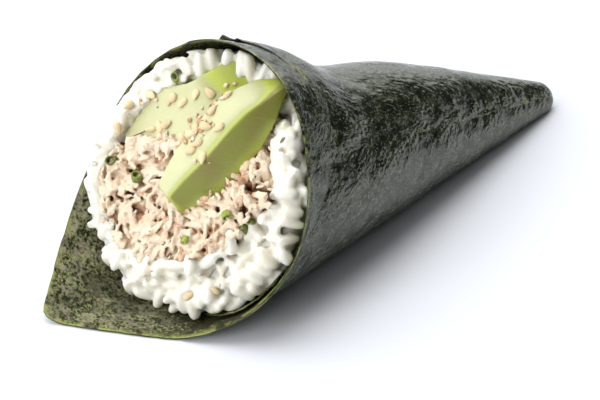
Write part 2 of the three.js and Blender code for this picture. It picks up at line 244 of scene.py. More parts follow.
# ---- materials ----------------------------------------------------------------------------------
class Shader:
    """A material's node tree, written from its patterns to its surface."""

    def __init__(self, name):
        self.material = bpy.data.materials.new(name)
        self.material.use_nodes = True
        self.tree = self.material.node_tree
        self.tree.nodes.clear()
        self.object_place = self.node("ShaderNodeTexCoord").outputs["Object"]

    def node(self, kind, inputs=None, **choices):
        made = self.tree.nodes.new(kind)
        for name, choice in choices.items():
            setattr(made, name, choice)
        for name, value in (inputs or {}).items():
            self.feed(made.inputs[name], value)
        return made

    def feed(self, socket, value):
        if isinstance(value, bpy.types.NodeSocket):
            self.tree.links.new(value, socket)
        else:
            socket.default_value = value

    def attribute(self, name, output="Fac"):
        return self.node("ShaderNodeAttribute", attribute_name=name).outputs[output]

    def stretched(self, place, turn, scale):
        """Coordinates turned about Z and then scaled along each axis."""
        turned = self.node(
            "ShaderNodeMapping", {"Vector": place, "Rotation": (0, 0, turn)}, vector_type="POINT"
        )
        scaled = self.node("ShaderNodeMapping", {"Vector": turned.outputs[0], "Scale": scale})
        return scaled.outputs[0]

    def noise(self, place, size, detail=2.0, roughness=0.5, distortion=0.0):
        """Noise from 0 to 1 whose features are about a given size across."""
        inputs = {
            "Vector": place,
            "Scale": 1 / size,
            "Detail": detail,
            "Roughness": roughness,
            "Distortion": distortion,
        }
        return self.node("ShaderNodeTexNoise", inputs).outputs["Fac"]

    def cells(self, place, size):
        """Distance to the nearest of scattered points, 0 at each point."""
        inputs = {"Vector": place, "Scale": 1 / size}
        return self.node("ShaderNodeTexVoronoi", inputs).outputs["Distance"]

    def stretch(self, value, low, high, new_low=0.0, new_high=1.0):
        """Maps a range of values to another, smoothly and without passing its ends."""
        inputs = {
            "Value": value,
            "From Min": low,
            "From Max": high,
            "To Min": new_low,
            "To Max": new_high,
        }
        made = self.node("ShaderNodeMapRange", inputs, interpolation_type="SMOOTHSTEP")
        return made.outputs["Result"]

    def length(self, place):
        return self.node("ShaderNodeVectorMath", {0: place}, operation="LENGTH").outputs["Value"]

    def combined(self, operation, first, second):
        return self.node("ShaderNodeMath", {0: first, 1: second}, operation=operation).outputs[0]

    def product(self, first, second):
        return self.combined("MULTIPLY", first, second)

    def sum(self, *terms):
        """Adds values, each given with its weight."""
        weighted = [self.product(value, weight) for value, weight in terms]
        total = weighted[0]
        for term in weighted[1:]:
            total = self.combined("ADD", total, term)
        return total

    def mix(self, share, first, second):
        """Mixes two colours."""
        made = self.node("ShaderNodeMix", data_type="RGBA")
        self.feed(made.inputs["Factor"], share)
        self.feed(made.inputs[6], self.colour(first))
        self.feed(made.inputs[7], self.colour(second))
        return made.outputs[2]

    @staticmethod
    def colour(value):
        return value if isinstance(value, bpy.types.NodeSocket) else (*value, 1.0)

    def bump(self, height, depth, strength=1.0, normal=None):
        inputs = {"Height": height, "Distance": depth, "Strength": strength}
        if normal is not None:
            inputs["Normal"] = normal
        return self.node("ShaderNodeBump", inputs).outputs["Normal"]

    def surface(self, **inputs):
        """Ends the tree with a principled surface. Underscores stand for spaces."""
        named = {name.replace("_", " "): value for name, value in inputs.items()}
        if "Base Color" in named:
            named["Base Color"] = self.colour(named["Base Color"])
        made = self.node("ShaderNodeBsdfPrincipled", named)
        output = self.node("ShaderNodeOutputMaterial")
        self.feed(output.inputs["Surface"], made.outputs["BSDF"])
        return self.material


def tinted(colour, tint, shade=1.0):
    return tuple(part * share * shade for part, share in zip(colour, tint))


def nori_material(colours):
    """Toasted seaweed: smooth, crinkled and glossy outside, rough, khaki and fibrous inside."""
    shader = Shader("nori_sheet")
    sheet = shader.attribute("sheet", "Vector")
    inside = shader.stretch(shader.attribute("inside"), 0.4, 0.6)
    frayed = shader.attribute("frayed")

    patches = shader.noise(sheet, 14 * MM, 3)
    mottle = shader.noise(sheet, 3.4 * MM, 5, 0.6, 0.5)
    crumple = shader.noise(sheet, 1.9 * MM, 4, 0.55, 0.9)
    grit = shader.noise(sheet, 0.75 * MM, 3, 0.6, 0.3)
    strands = shader.noise(shader.stretched(sheet, 0.5, (1, 5, 1)), 3.4 * MM, 4, 0.6, 0.6)
    cross_strands = shader.noise(shader.stretched(sheet, -0.9, (1, 4, 1)), 2.8 * MM, 4, 0.6, 0.6)
    fibres = shader.sum((strands, 0.5), (cross_strands, 0.5))
    spots = shader.stretch(shader.cells(sheet, 5 * MM), 0.1, 0.16, 1, 0)

    outer = shader.mix(
        shader.stretch(shader.sum((patches, 0.3), (mottle, 0.7)), 0.45, 0.6),
        colours.nori_dark,
        colours.nori_olive,
    )
    flecks = shader.product(shader.stretch(grit, 0.53, 0.6), shader.stretch(crumple, 0.47, 0.55))
    outer = shader.mix(shader.product(flecks, 0.8), outer, colours.nori_fleck)
    outer = shader.mix(shader.product(spots, 0.5), outer, colours.nori_green)

    specks = shader.noise(sheet, 0.55 * MM, 3, 0.6, 0.3)
    speckle = shader.sum((specks, 0.4), (grit, 0.35), (crumple, 0.25))
    inner = shader.mix(
        shader.stretch(shader.sum((speckle, 0.8), (fibres, 0.2)), 0.44, 0.56),
        colours.flap_dark_and_shade,
        colours.flap,
    )
    # Low towards the rice and before the dry part, where the inner side is painted dark as painted
    # shade; high along the flap's edge, where it is pale and hazy
    haze_and_shade = shader.attribute("haze_and_shade")
    inner = shader.mix(shader.stretch(haze_and_shade, 0, 0.7, 0.95, 0), inner, colours.flap_dark_and_shade)
    dull = shader.stretch(patches, 0.42, 0.6)
    haze_and_shade = shader.sum((shader.stretch(haze_and_shade, 0.3, 1), 0.9), (dull, 0.35))
    haze = shader.product(haze_and_shade, shader.stretch(speckle, 0.42, 0.56))
    haze = shader.product(haze, shader.stretch(mottle, 0.4, 0.56, 0.6, 1))
    green_haze = tinted(colours.flap_haze, (0.8, 1.0, 0.68))
    haze_colour = shader.mix(shader.stretch(crumple, 0.44, 0.56), green_haze, colours.flap_haze)
    inner = shader.mix(haze, inner, haze_colour)
    bright = shader.product(shader.stretch(specks, 0.54, 0.6), shader.stretch(mottle, 0.46, 0.56))
    inner = shader.mix(shader.product(bright, 0.5), inner, colours.torn_edge_and_highlight)

    base = shader.mix(inside, outer, inner)
    # Cut edges are paler; on the flared rim's inner side this band is widened and is a painted
    # highlight
    torn = shader.product(frayed, shader.stretch(mottle, 0.42, 0.55))
    base = shader.mix(torn, base, colours.torn_edge_and_highlight)

    worn = shader.sum((mottle, 0.3), (crumple, 0.35), (grit, 0.35))
    outer_gloss = shader.stretch(worn, 0.45, 0.58, 0.16, 0.32)
    roughness = shader.sum((outer_gloss, 1.0), (inside, 0.45))
    swells = shader.noise(sheet, 4.5 * MM, 1)
    creases = shader.noise(shader.stretched(sheet, 0.5, (1, 2.2, 1)), 2.2 * MM, 1, 0.5, 0.4)
    pimples = shader.noise(sheet, 1.1 * MM, 0.6)
    crinkled = shader.product(
        shader.sum((creases, 0.9), (pimples, 0.7)), shader.stretch(patches, 0.4, 0.62, 0.3, 1.4)
    )
    normal = shader.bump(shader.sum((swells, 1.2), (crinkled, 1.0)), 0.22 * MM)
    puckered = shader.product(
        shader.stretch(shader.length(sheet), 84 * MM, 104 * MM),
        shader.stretch(patches, 0.42, 0.56),
    )
    puckers = shader.product(shader.sum((crumple, 0.6), (grit, 0.4)), puckered)
    normal = shader.bump(puckers, 0.5 * MM, normal=normal)
    shiny = shader.stretch(shader.sum((mottle, 0.25), (crumple, 0.35), (grit, 0.4)), 0.43, 0.57)
    outer_shine = shader.mix(shiny, (0.5, 0.54, 0.38), (1.0, 1.0, 0.88))
    inner_shine = shader.mix(shiny, (0.15, 0.15, 0.11), (0.5, 0.48, 0.38))
    return shader.surface(
        Base_Color=base,
        Roughness=roughness,
        Normal=normal,
        IOR=1.6,
        Specular_IOR_Level=1.0,
        Specular_Tint=shader.mix(inside, outer_shine, inner_shine),
    )


def rice_material(colours, name, shade):
    """Moist cooked rice, a little translucent. Each grain has a tone of its own. A shade below one
    paints it all darker, as painted shade.
    """
    shader = Shader(name)
    tone = shader.attribute("tone")
    cloud = shader.noise(shader.object_place, 1.6 * MM, 2)
    warm = tinted(colours.rice, (0.86, 0.83, 0.74), shade)
    pale = tinted(colours.rice, (1, 1, 1), shade)
    base = shader.mix(shader.sum((tone, 0.6), (cloud, 0.4)), warm, pale)
    normal = shader.bump(shader.noise(shader.object_place, 0.7 * MM, 3), 0.12 * MM, 0.6)
    return shader.surface(
        Base_Color=base,
        Roughness=0.36,
        Normal=normal,
        Subsurface_Weight=0.85,
        Subsurface_Radius=(1.0, 0.93, 0.82),
        Subsurface_Scale=2.0 * MM,
    )


def tuna_material(colours):
    """Flaked tuna in a creamy dressing, paler towards its high places, with painted shade in the
    crevices between flakes.
    """
    shader = Shader("tuna_salad")
    place = shader.object_place
    height = shader.attribute("tone")
    cream = shader.noise(place, 4 * MM, 4, 0.6, 0.4)
    fibres = shader.noise(shader.stretched(place, 0.7, (1, 5, 5)), 1.6 * MM, 4, 0.65)
    crumbs = shader.noise(place, 0.8 * MM, 3, 0.6)
    flesh = shader.mix(
        shader.stretch(shader.sum((fibres, 0.6), (crumbs, 0.4)), 0.42, 0.58),
        colours.tuna_brown,
        colours.tuna_mid,
    )
    dressing = shader.sum((height, 0.35), (cream, 0.7), (crumbs, 0.2))
    base = shader.mix(shader.stretch(dressing, 0.55, 0.74), flesh, colours.tuna_pale)
    # Low places are painted dark, as painted shade in the crevices
    base = shader.mix(shader.stretch(height, 0.08, 0.36, 0.85, 0), base, colours.tuna_crevice_shade)
    relief = shader.sum((fibres, 0.7), (crumbs, 0.5))
    return shader.surface(
        Base_Color=base,
        Roughness=shader.stretch(dressing, 0.3, 0.7, 0.55, 0.3),
        Normal=shader.bump(relief, 0.45 * MM, 0.8),
        Subsurface_Weight=0.3,
        Subsurface_Radius=(1.0, 0.7, 0.5),
        Subsurface_Scale=0.9 * MM,
    )


def avocado_material(colours):
    """Ripe avocado, pale yellow by the stone and green under the skin, with faint knife marks."""
    shader = Shader("avocado")
    place = shader.object_place
    green = shader.attribute("green")
    cloud = shader.noise(place, 5 * MM, 3)
    fine = shader.noise(place, 0.9 * MM, 4, 0.6)
    marks = shader.noise(shader.stretched(place, 0.9, (1, 14, 14)), 9 * MM, 3)
    share = shader.sum((green, 1.0), (cloud, 0.12), (marks, 0.10), (fine, 0.05))
    middle = tuple(0.5 * (a + b) for a, b in zip(colours.avocado_pale, colours.avocado_green))
    base = shader.mix(shader.stretch(share, 0.1, 0.55), colours.avocado_pale, middle)
    base = shader.mix(shader.stretch(share, 0.5, 1.1), base, colours.avocado_green)
    below, above = shader.stretch(green, 0.62, 0.9, 1, 0), shader.stretch(green, 0.35, 0.55)
    ridge = shader.product(above, below)
    base = shader.mix(shader.product(ridge, 0.75), base, colours.avocado_lime)
    bruises = shader.stretch(shader.noise(place, 8 * MM, 2), 0.42, 0.66, 0, 0.6)
    bruises = shader.product(bruises, shader.stretch(green, 0.7, 1))
    base = shader.mix(bruises, base, colours.avocado_brown)
    relief = shader.sum((marks, 0.6), (fine, 0.3))
    return shader.surface(
        Base_Color=base,
        Roughness=shader.stretch(cloud, 0.3, 0.7, 0.3, 0.45),
        Normal=shader.bump(relief, 0.3 * MM, 0.6),
        Subsurface_Weight=0.25,
        Subsurface_Radius=(1.0, 0.9, 0.3),
        Subsurface_Scale=1.0 * MM,
    )


def small_material(name, colour, roughness, dark_share):
    """A seed or leaf: its colour varies from piece to piece and along each."""
    shader = Shader(name)
    tone = shader.attribute("tone")
    cloud = shader.noise(shader.object_place, 0.8 * MM, 3)
    dark = tinted(colour, (1, 1, 1), dark_share)
    base = shader.mix(shader.sum((tone, 0.7), (cloud, 0.3)), dark, colour)
    normal = shader.bump(cloud, 0.12 * MM, 0.7)
    return shader.surface(
        Base_Color=base,
        Roughness=roughness,
        Normal=normal,
        Subsurface_Weight=0.15,
        Subsurface_Scale=0.5 * MM,
    )


# ---- making pieces ------------------------------------------------------------------------------
def finish_piece(bm, name, material, replaced=()):
    """Turns a bmesh into a smooth piece of the roll that rides on its body."""
    mesh = bpy.data.meshes.new(name)
    bm.to_mesh(mesh)
    bm.free()
    mesh.materials.append(material)
    for polygon in mesh.polygons:
        polygon.use_smooth = True
    piece = bpy.data.objects.new(name, mesh)
    bpy.context.scene.collection.objects.link(piece)
    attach(piece, "root")
    if replaced:
        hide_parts(*replaced)
    return piece


def thinned(piece, share):
    """Keeps only a share of a piece's triangles, and most of them where it is least smooth."""
    thin = piece.modifiers.new("thin", "DECIMATE")
    thin.ratio = share
    return piece


def node_copy(node):
    """A welded copy of a solid's mesh, whose points have a tone."""
    bm = bmesh.new()
    bm.from_mesh(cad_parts[node].data)
    bm.verts.layers.float.new("tone")
    bmesh.ops.remove_doubles(bm, verts=bm.verts, dist=0.01 * MM)
    bm.normal_update()
    return bm


TRIES_PER_SPOT = 14
PUSH_SHARE = 0.35  # of an overlap between grains, taken out in one pass
STAY_SHARE = 0.04  # of the way back to where a grain started, taken in one pass
RAY_LENGTH = 0.05  # reaches past the nori from the roll's middle line
LEAST_GAP = 1 * MM  # nothing is drawn nearer to the middle line than this

# Planes, each a point from the cone's point in millimetres and the way out of the tuna.
TUNA_TOP = [((-109.7, 27.5, 24.9), (0.301, 0.592, 0.748))]  # under the back slice
TUNA_FOOT = [
    ((-119.6, 20.5, 4.1), (-0.371, -0.417, -0.83)),
    ((-111.7, -2.7, 12.2), (-0.115, -0.872, -0.476)),
]


def beyond_limits(places, planes):
    """How far points lie beyond some planes, measured from the one they pass the most."""
    gaps = [(places - APEX - np.array(point) * MM) @ np.array(way) for point, way in planes]
    return np.max(gaps, axis=0)


def proud_of_mouth(places):
    """How far points stand out of the mouth's plane."""
    return (np.asarray(places) - MOUTH_CENTRE) @ MOUTH_NORMAL


def unit(vectors):
    return vectors / np.maximum(np.linalg.norm(vectors, axis=-1, keepdims=True), 1e-9)


def outward(places):
    """The ways from the mouth's middle out to points, along its plane."""
    return unit(places - MOUTH_CENTRE - np.outer(proud_of_mouth(places), MOUTH_NORMAL))


def spread_samples(node, spacing, behind, random):
    """Points spread evenly over the part of a solid that shows at the mouth, and their normals."""
    bm = node_copy(node)
    bmesh.ops.triangulate(bm, faces=bm.faces)
    corners = np.array([[v.co for v in face.verts] for face in bm.faces])
    normals = np.array([face.normal for face in bm.faces])
    bm.free()
    shown = proud_of_mouth(corners.mean(1)) > -behind
    corners, normals = corners[shown], normals[shown]
    sides = corners[:, 1:] - corners[:, :1]
    areas = np.linalg.norm(np.cross(sides[:, 0], sides[:, 1]), axis=1)
    tries = int(TRIES_PER_SPOT * areas.sum() / spacing**2)
    picks = random.choice(len(corners), tries, p=areas / areas.sum())
    first, second = random.random((2, tries))
    folded = first + second > 1
    first[folded], second[folded] = 1 - first[folded], 1 - second[folded]
    places = corners[picks, 0] + first[:, None] * sides[picks, 0]
    places += second[:, None] * sides[picks, 1]
    kept = []
    for i in range(tries):
        if not kept or np.linalg.norm(places[kept] - places[i], axis=1).min() > spacing:
            kept.append(i)
    return places[kept], normals[picks[kept]]


def push_apart(places, axes, half_length, radius, passes):
    """Moves and turns rods, each a chain of three balls, until they hardly overlap."""
    home = places.copy()
    shares = np.array([-1.0, 0.0, 1.0])
    owner = np.repeat(np.arange(len(places)), 3)
    apart = owner[:, None] != owner[None, :]
    for _ in range(passes):
        balls = places[:, None] + shares[None, :, None] * half_length * axes[:, None]
        balls = balls.reshape(-1, 3)
        gaps = balls[:, None] - balls[None]
        distance = np.linalg.norm(gaps, axis=2) + 1e-9
        overlap = np.where(apart, np.maximum(0, 2 * radius - distance), 0)
        pushes = (gaps / distance[..., None] * overlap[..., None]).sum(1)
        push = PUSH_SHARE * pushes.reshape(-1, 3, 3)
        places = places + push.mean(1) + STAY_SHARE * (home - places)
        axes = unit(axes + (push[:, 2] - push[:, 0]) / (2 * half_length))
    return places, axes


def turns_of(axes, facings):
    """Rotations whose Z are the axes and whose X are nearest to the ways they face."""
    axes = unit(axes)
    across = unit(facings - axes * (facings * axes).sum(-1, keepdims=True))
    return np.stack([across, np.cross(axes, across), axes], axis=-1)


def baked(carrier):
    """The mesh of an object with its modifiers applied. The object itself is taken away."""
    graph = bpy.context.evaluated_depsgraph_get()
    mesh = bpy.data.meshes.new_from_object(carrier.evaluated_get(graph))
    bpy.data.objects.remove(carrier)
    return mesh


def carrier_of(mesh):
    carrier = bpy.data.objects.new("carrier", mesh)
    bpy.context.scene.collection.objects.link(carrier)
    return carrier


def copies_of(shape, count):
    """One mesh that holds a shape many times, and the places of the shape's own points."""
    mesh = bpy.data.meshes.new("shape")
    shape.to_mesh(mesh)
    shape.free()
    carrier = carrier_of(mesh)
    array = carrier.modifiers.new("copies", "ARRAY")
    array.count = count
    array.use_relative_offset = False
    copies = baked(carrier)
    return copies, points_of(copies)[: len(mesh.vertices)]


def points_of(mesh):
    points = np.empty(len(mesh.vertices) * 3)
    mesh.vertices.foreach_get("co", points)
    return points.reshape(-1, 3)


def move_points(mesh, places):
    mesh.vertices.foreach_set("co", np.asarray(places, dtype=float).ravel())
    mesh.update()


def placed(shapes, turns, places):
    """Turns each shape's points and puts them in their place."""
    return places[:, None] + np.einsum("nij,nkj->nki", turns, shapes)


def fused(mesh, grain):
    """Joins shapes that press into each other to one skin, with creases where they meet."""
    carrier = carrier_of(mesh)
    remesh = carrier.modifiers.new("fuse", "REMESH")
    remesh.mode = "VOXEL"
    remesh.voxel_size = grain
    return baked(carrier)


def swollen(mesh, distance):
    normals = np.empty(len(mesh.vertices) * 3)
    mesh.vertex_normals.foreach_get("vector", normals)
    move_points(mesh, points_of(mesh) + distance * normals.reshape(-1, 3))
    return mesh


def closed_up(mesh, distance, grain):
    """Fills the gaps that are narrower than twice a distance."""
    return swollen(fused(swollen(mesh, distance), grain), -distance)


def tree_of(points):
    tree = KDTree(len(points))
    for i, point in enumerate(points):
        tree.insert(point, i)
    tree.balance()
    return tree


def height_over(node, places):
    """How far points stand out of a solid, and its normal at the nearest place on it."""
    bm = node_copy(node)
    surface = BVHTree.FromBMesh(bm)
    bm.free()
    found = [surface.find_nearest(Vector(place)) for place in places]
    near = np.array([hit[0] for hit in found])
    normals = np.array([hit[1] for hit in found])
    return ((places - near) * normals).sum(1), normals


def within_wrap(places, gap):
    """Draws points that come near the nori, or through it, back towards the roll's middle line."""
    wrap = bpy.data.objects.get("nori_sheet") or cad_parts["nori"]
    bm = bmesh.new()
    bm.from_mesh(wrap.data)
    wall = BVHTree.FromBMesh(bm)
    bm.free()
    line = unit(MOUTH_CENTRE - APEX)
    feet = APEX + np.outer((places - APEX) @ line, line)
    distances = np.linalg.norm(places - feet, axis=1)
    ways = unit(places - feet)
    hits = [wall.ray_cast(Vector(foot), Vector(way), RAY_LENGTH) for foot, way in zip(feet, ways)]
    limits = np.array([distance or 1.0 for _, _, _, distance in hits])
    kept = np.minimum(distances, np.maximum(limits - gap, LEAST_GAP))
    return feet + ways * kept[:, None]


def eased(bm, shifts, passes):
    """Spreads the shifts of some points over their neighbours, so that nothing is pinched."""
    bm.verts.index_update()
    first, second = np.array([[vert.index for vert in edge.verts] for edge in bm.edges]).T
    counts = np.bincount(np.concatenate([first, second]), minlength=len(shifts))[:, None]
    for _ in range(passes):
        nearby = np.zeros_like(shifts)
        np.add.at(nearby, first, shifts[second])
        np.add.at(nearby, second, shifts[first])
        shifts = 0.5 * shifts + 0.5 * nearby / np.maximum(counts, 1)
    return shifts


def smooth(bm, times):
    for _ in range(times):
        bmesh.ops.smooth_vert(
            bm, verts=bm.verts, factor=0.5, use_axis_x=True, use_axis_y=True, use_axis_z=True
        )


def verts_of(bm):
    return np.array([vert.co for vert in bm.verts])


def move_verts(bm, places):
    for vert, place in zip(bm.verts, places):
        vert.co = place


def set_values(bm, name, values, kind="float"):
    """Gives each point a value that its material reads by name."""
    layers = getattr(bm.verts.layers, kind)
    layer = layers.get(name) or layers.new(name)
    for vert, value in zip(bm.verts, values):
        vert[layer] = value


def toned_mesh(mesh=None):
    """A bmesh whose points have a tone, which colours each small thing a little differently."""
    bm = bmesh.new()
    if mesh:
        bm.from_mesh(mesh)
        bpy.data.meshes.remove(mesh)
    bm.verts.layers.float.new("tone")
    return bm


def frame_of(axis, facing):
    """A rotation whose Z is the axis and whose X is nearest to the way it faces."""
    across = facing - axis * facing.dot(axis)
    across = across.normalized() if across.length > 1e-6 else axis.orthogonal().normalized()
    return Matrix((across, axis.cross(across), axis)).transposed()


def set_tone(bm, verts, value):
    layer = bm.verts.layers.float["tone"]
    for vert in verts:
        vert[layer] = value


# ---- nori ---------------------------------------------------------------------------------------
SHEET_COLUMNS = 300
SHEET_ROWS = 158
OUTER_SHARE = 0.86  # of the columns, for the turns that show
OUTER_TURNS = 1.3
TIP_SHARE = 0.06  # of the rows, for the tip, where they lie closer
SIDES_APART = 0.05  # how far apart the patterns of the sheet's two sides are taken
PRESS_DEPTH = 0.12 * MM  # how far the wrap's free edge is pressed onto the turn under it
PRESS_WIDTH = 3 * MM
EDGE_TAPER = 0.45  # of the sheet's thickness, lost at its cut edges
EDGE_TAPER_WIDTH = 0.8 * MM
STUCK_TAPER = 0.85  # of it, lost where the wrap's last edge is stuck down
STUCK_WIDTH = 7 * MM
FRAY_DEPTH = 0.35 * MM
FRAYED_WIDTH = 0.45 * MM
HAZE_AND_SHADE_WIDTH = 15 * MM  # along the flap's edge its inner side is palest and hazy; further in it is painted darker, as painted shade from the rice
INNER_CRINKLE = 0.3  # of the outer turns' crinkles, left in the turns inside
CRINKLE_SIZES = (9 * MM, 2.6 * MM)
CRINKLE_DEPTHS = (0.2 * MM, 0.07 * MM)
CRINKLE_RISE = 0.16 * MM  # the sheet stands this much out of its winding, less where it dips

# Places along the winding, in degrees. The first three set in there, and are complete so many
# degrees further on towards the sheet's free end. The others are strongest there, and so wide.
STUCK = (-150, 25)  # the wrap's last edge is stuck down
BACKED = (-60, 40)  # a turn lies under the sheet
HAZE_AND_SHADE_SPAN = (40, 90)  # the inner side is dry and hazy; before this sets in it is painted dark, as painted shade
LIP = (66, 48)  # the rim flares and shows its inner side, where the pale torn band is widened as a painted highlight
LIP_FLARE = 1.1 * MM
LIP_WIDTH = 1.8 * MM
SHREDS = [  # torn bits of the rim, each with its share of the height
    (-147.5, 1.3, 0.55),
    (-142, 1.7, 1.0),
    (-137.5, 1.0, 0.5),
    (-122, 1.4, 0.35),
    (-109, 1.2, 0.3),
]
SHRED_HEIGHT = 1.1 * MM


def make_nori():
    """Winds a fine grid, made into a plate, to the cone."""
    sheet = settings().sheet
    winding = Winding(sheet)
    bm = bmesh.new()
    bmesh.ops.create_grid(bm, x_segments=SHEET_COLUMNS, y_segments=SHEET_ROWS, size=0.5)
    copied = bmesh.ops.extrude_face_region(bm, geom=bm.faces[:], use_keep_orig=True)
    raised = [item for item in copied["geom"] if isinstance(item, bmesh.types.BMVert)]
    bmesh.ops.translate(bm, verts=raised, vec=(0, 0, 1))
    bmesh.ops.recalc_face_normals(bm, faces=bm.faces)
    mark_border_sharp(bm)

    plan = verts_of(bm)
    column, row, side = plan[:, 0] + 0.5, plan[:, 1] + 0.5, plan[:, 2]
    outer_end = winding.end + FULL_TURN * OUTER_TURNS
    around = np.interp(column, [0, OUTER_SHARE, 1], [winding.end, outer_end, winding.start])
    share = np.interp(row, [0, TIP_SHARE, 1], [0, TIP_SHARE / 2, 1])
    turns = (around - winding.end) / FULL_TURN
    angle = winding.flat_angle(around)
    edge = winding.edge(angle) - ragged(around)
    tip = TIP_CUT + INNER_TIP * np.maximum(0, turns - 1)
    reach = tip + (edge - tip) * share
    flat = np.stack([reach * np.cos(angle), reach * np.sin(angle), side * SIDES_APART], axis=1)

    from_edge = np.minimum(edge - reach, (around - winding.end) * reach * winding.sine)
    squeeze = np.minimum(1, reach / TIGHT_RANGE)
    lip, shred = peak(around, *LIP), shreds(around)
    stuck, backed = onset(around, *STUCK), onset(around, *BACKED)
    thinning = np.maximum(
        EDGE_TAPER * (1 - lip) * np.exp(-from_edge / EDGE_TAPER_WIDTH),
        STUCK_TAPER * stuck * np.exp(-from_edge / STUCK_WIDTH),
    )
    face = (side + (1 - side) * thinning) * sheet.thickness
    press_width = PRESS_WIDTH + (STUCK_WIDTH - PRESS_WIDTH) * stuck
    press = PRESS_DEPTH * (backed + stuck) * np.exp(-((from_edge / press_width) ** 2))
    press -= LIP_FLARE * lip * np.exp(-((from_edge / LIP_WIDTH) ** 2))
    press -= SHRED_HEIGHT * shred * np.exp(-from_edge / SHRED_HEIGHT)
    depth = squeeze * (turns * sheet.layer_pitch + face + press)
    floor = squeeze * (np.round(around / FULL_TURN) * sheet.layer_pitch + face)
    depth -= crinkle(flat) * np.where(turns < OUTER_TURNS, 1, INNER_CRINKLE) * squeeze
    move_verts(bm, winding.point(around, reach, depth, floor))

    # On the inner side of the flared rim the pale band is up to four times as wide, as a painted
    # highlight
    fray_and_highlight_width = FRAYED_WIDTH * (1 + 3 * lip * side - 0.6 * lip * (1 - side) + 2 * shred)
    frayed = np.exp(-np.maximum(from_edge, 0) / fray_and_highlight_width)
    frayed *= (1 - 0.8 * backed * (1 - shred)) * (1 + 2 * shred)
    # Low further in from the flap's edge, where the inner side is painted darker as painted shade
    # from the rice
    haze_and_shade = onset(around, *HAZE_AND_SHADE_SPAN) * np.clip(1.3 - from_edge / HAZE_AND_SHADE_WIDTH, 0.3, 1)
    set_values(bm, "sheet", flat, "float_vector")
    set_values(bm, "inside", side)
    set_values(bm, "frayed", frayed)
    set_values(bm, "haze_and_shade", haze_and_shade)
    if bm.calc_volume(signed=True) < 0:
        bmesh.ops.reverse_faces(bm, faces=bm.faces)
    material = nori_material(settings().colours)
    return finish_piece(bm, "nori_sheet", material, replaced=["nori"])


def mark_border_sharp(bm):
    """Keeps the cut edges crisp, where the sheet's two sides end."""
    for edge in bm.edges:
        flat_faces = sum(abs(face.normal.z) > 0.5 for face in edge.link_faces)
        edge.smooth = flat_faces != 1


def ragged(around):
    """How far the cut edge of the sheet is frayed back."""
    fray = [noise.noise((a * 9, 0.3, 0)) + 0.6 * noise.noise((a * 31, 1.7, 0)) for a in around]
    return FRAY_DEPTH * np.abs(fray) - SHRED_HEIGHT * shreds(around)


def shreds(around):
    """The torn bits of the rim, as shares of their height."""
    return sum(share * peak(around, place, width) for place, width, share in SHREDS)


def peak(around, place, width):
    """A smooth peak of height 1 at one place along the winding."""
    return np.exp(-(((around - math.radians(place)) / math.radians(width)) ** 2))


def onset(around, start, span):
    """Rises from 0 at one place along the winding to 1 further on, towards its free end."""
    return np.clip((math.radians(start) - around) / math.radians(span), 0, 1)


def crinkle(flat):
    """Outward relief of the moist sheet, worked out where each point lies on it."""
    broad = [noise.fractal(Vector(p) / CRINKLE_SIZES[0], 1.0, 2.0, 2) for p in flat]
    fine = [noise.noise(Vector(p) / CRINKLE_SIZES[1]) for p in flat]
    relief = CRINKLE_RISE + CRINKLE_DEPTHS[0] * np.array(broad) + CRINKLE_DEPTHS[1] * np.array(fine)
    return np.maximum(0, relief)


# ---- rice ---------------------------------------------------------------------------------------
CORE_LUMPS = (6 * MM, 2.2 * MM)  # how far apart, wide ones and small ones
CORE_SET_BACK = 3.5  # millimetres into the cone, under the top of the rim
CORE_GAP = (0.35, 2.2)  # millimetres to the nori, and what is added under the top of the rim
CORE_SHOWN = 9 * MM  # it is set back less and less over this depth
GRAIN_LAYERS = [  # the solid they lie on, and millimetres in from its skin and from each other
    ("rice", 0.8, 2.9),
    ("rice", 2.4, 2.7),
    ("tuna_salad", -0.2, 2.9),
    ("tuna_salad", 1.6, 2.9),
]
GRAINS_BEHIND = 4.5 * MM  # how far into the cone from its mouth there are grains
GRAINS_TOP = 0.85  # nearer than this to the top, only the standing grains are left
GRAIN_PRESS = 0.91  # of a grain's width, from one to the next where they press together
GRAIN_GAP = 0.9  # of half a grain's width, from its middle line to the nori
PUSH_PASSES = 40
RICE_SKIN = 0.3 * MM  # the size of the skin's cells where grains have stuck together
RICE_CLOSING = 0.17 * MM  # half the width of the gaps between grains that starch has filled
RICE_STAND_OUT = 0.4 * MM  # how far grains stand out of the solid before they are drawn in
RICE_DRAWN_IN = 2 * MM  # at the most
RICE_GAP = (0.12 * MM, 0.05 * MM)  # to the nori, before and after the shifts are eased
RICE_THINNING = 0.85
TOP_ROW = (-44, 66)  # degrees around the mouth, from its top
TOP_ROW_COUNTS = (16, 13)  # grains in the row at the rim and in the one behind it
TOP_ROW_BEHIND = (1.6 * MM, 4 * MM)
TOP_ROW_LENGTH = 1.22  # of its grains, next to the others
TOP_ROW_TURN = 1.6  # how unevenly they stand around the mouth, in degrees
TOP_ROW_GAP = 0.6 * MM
TOP_ROW_LEAN = 0.25  # towards the front


def top_share(places):
    """How near points are to the top of the mouth, where the grains are loose and stand on end."""
    return np.clip(outward(places)[:, 2] * 1.9 - 0.55, 0, 1)


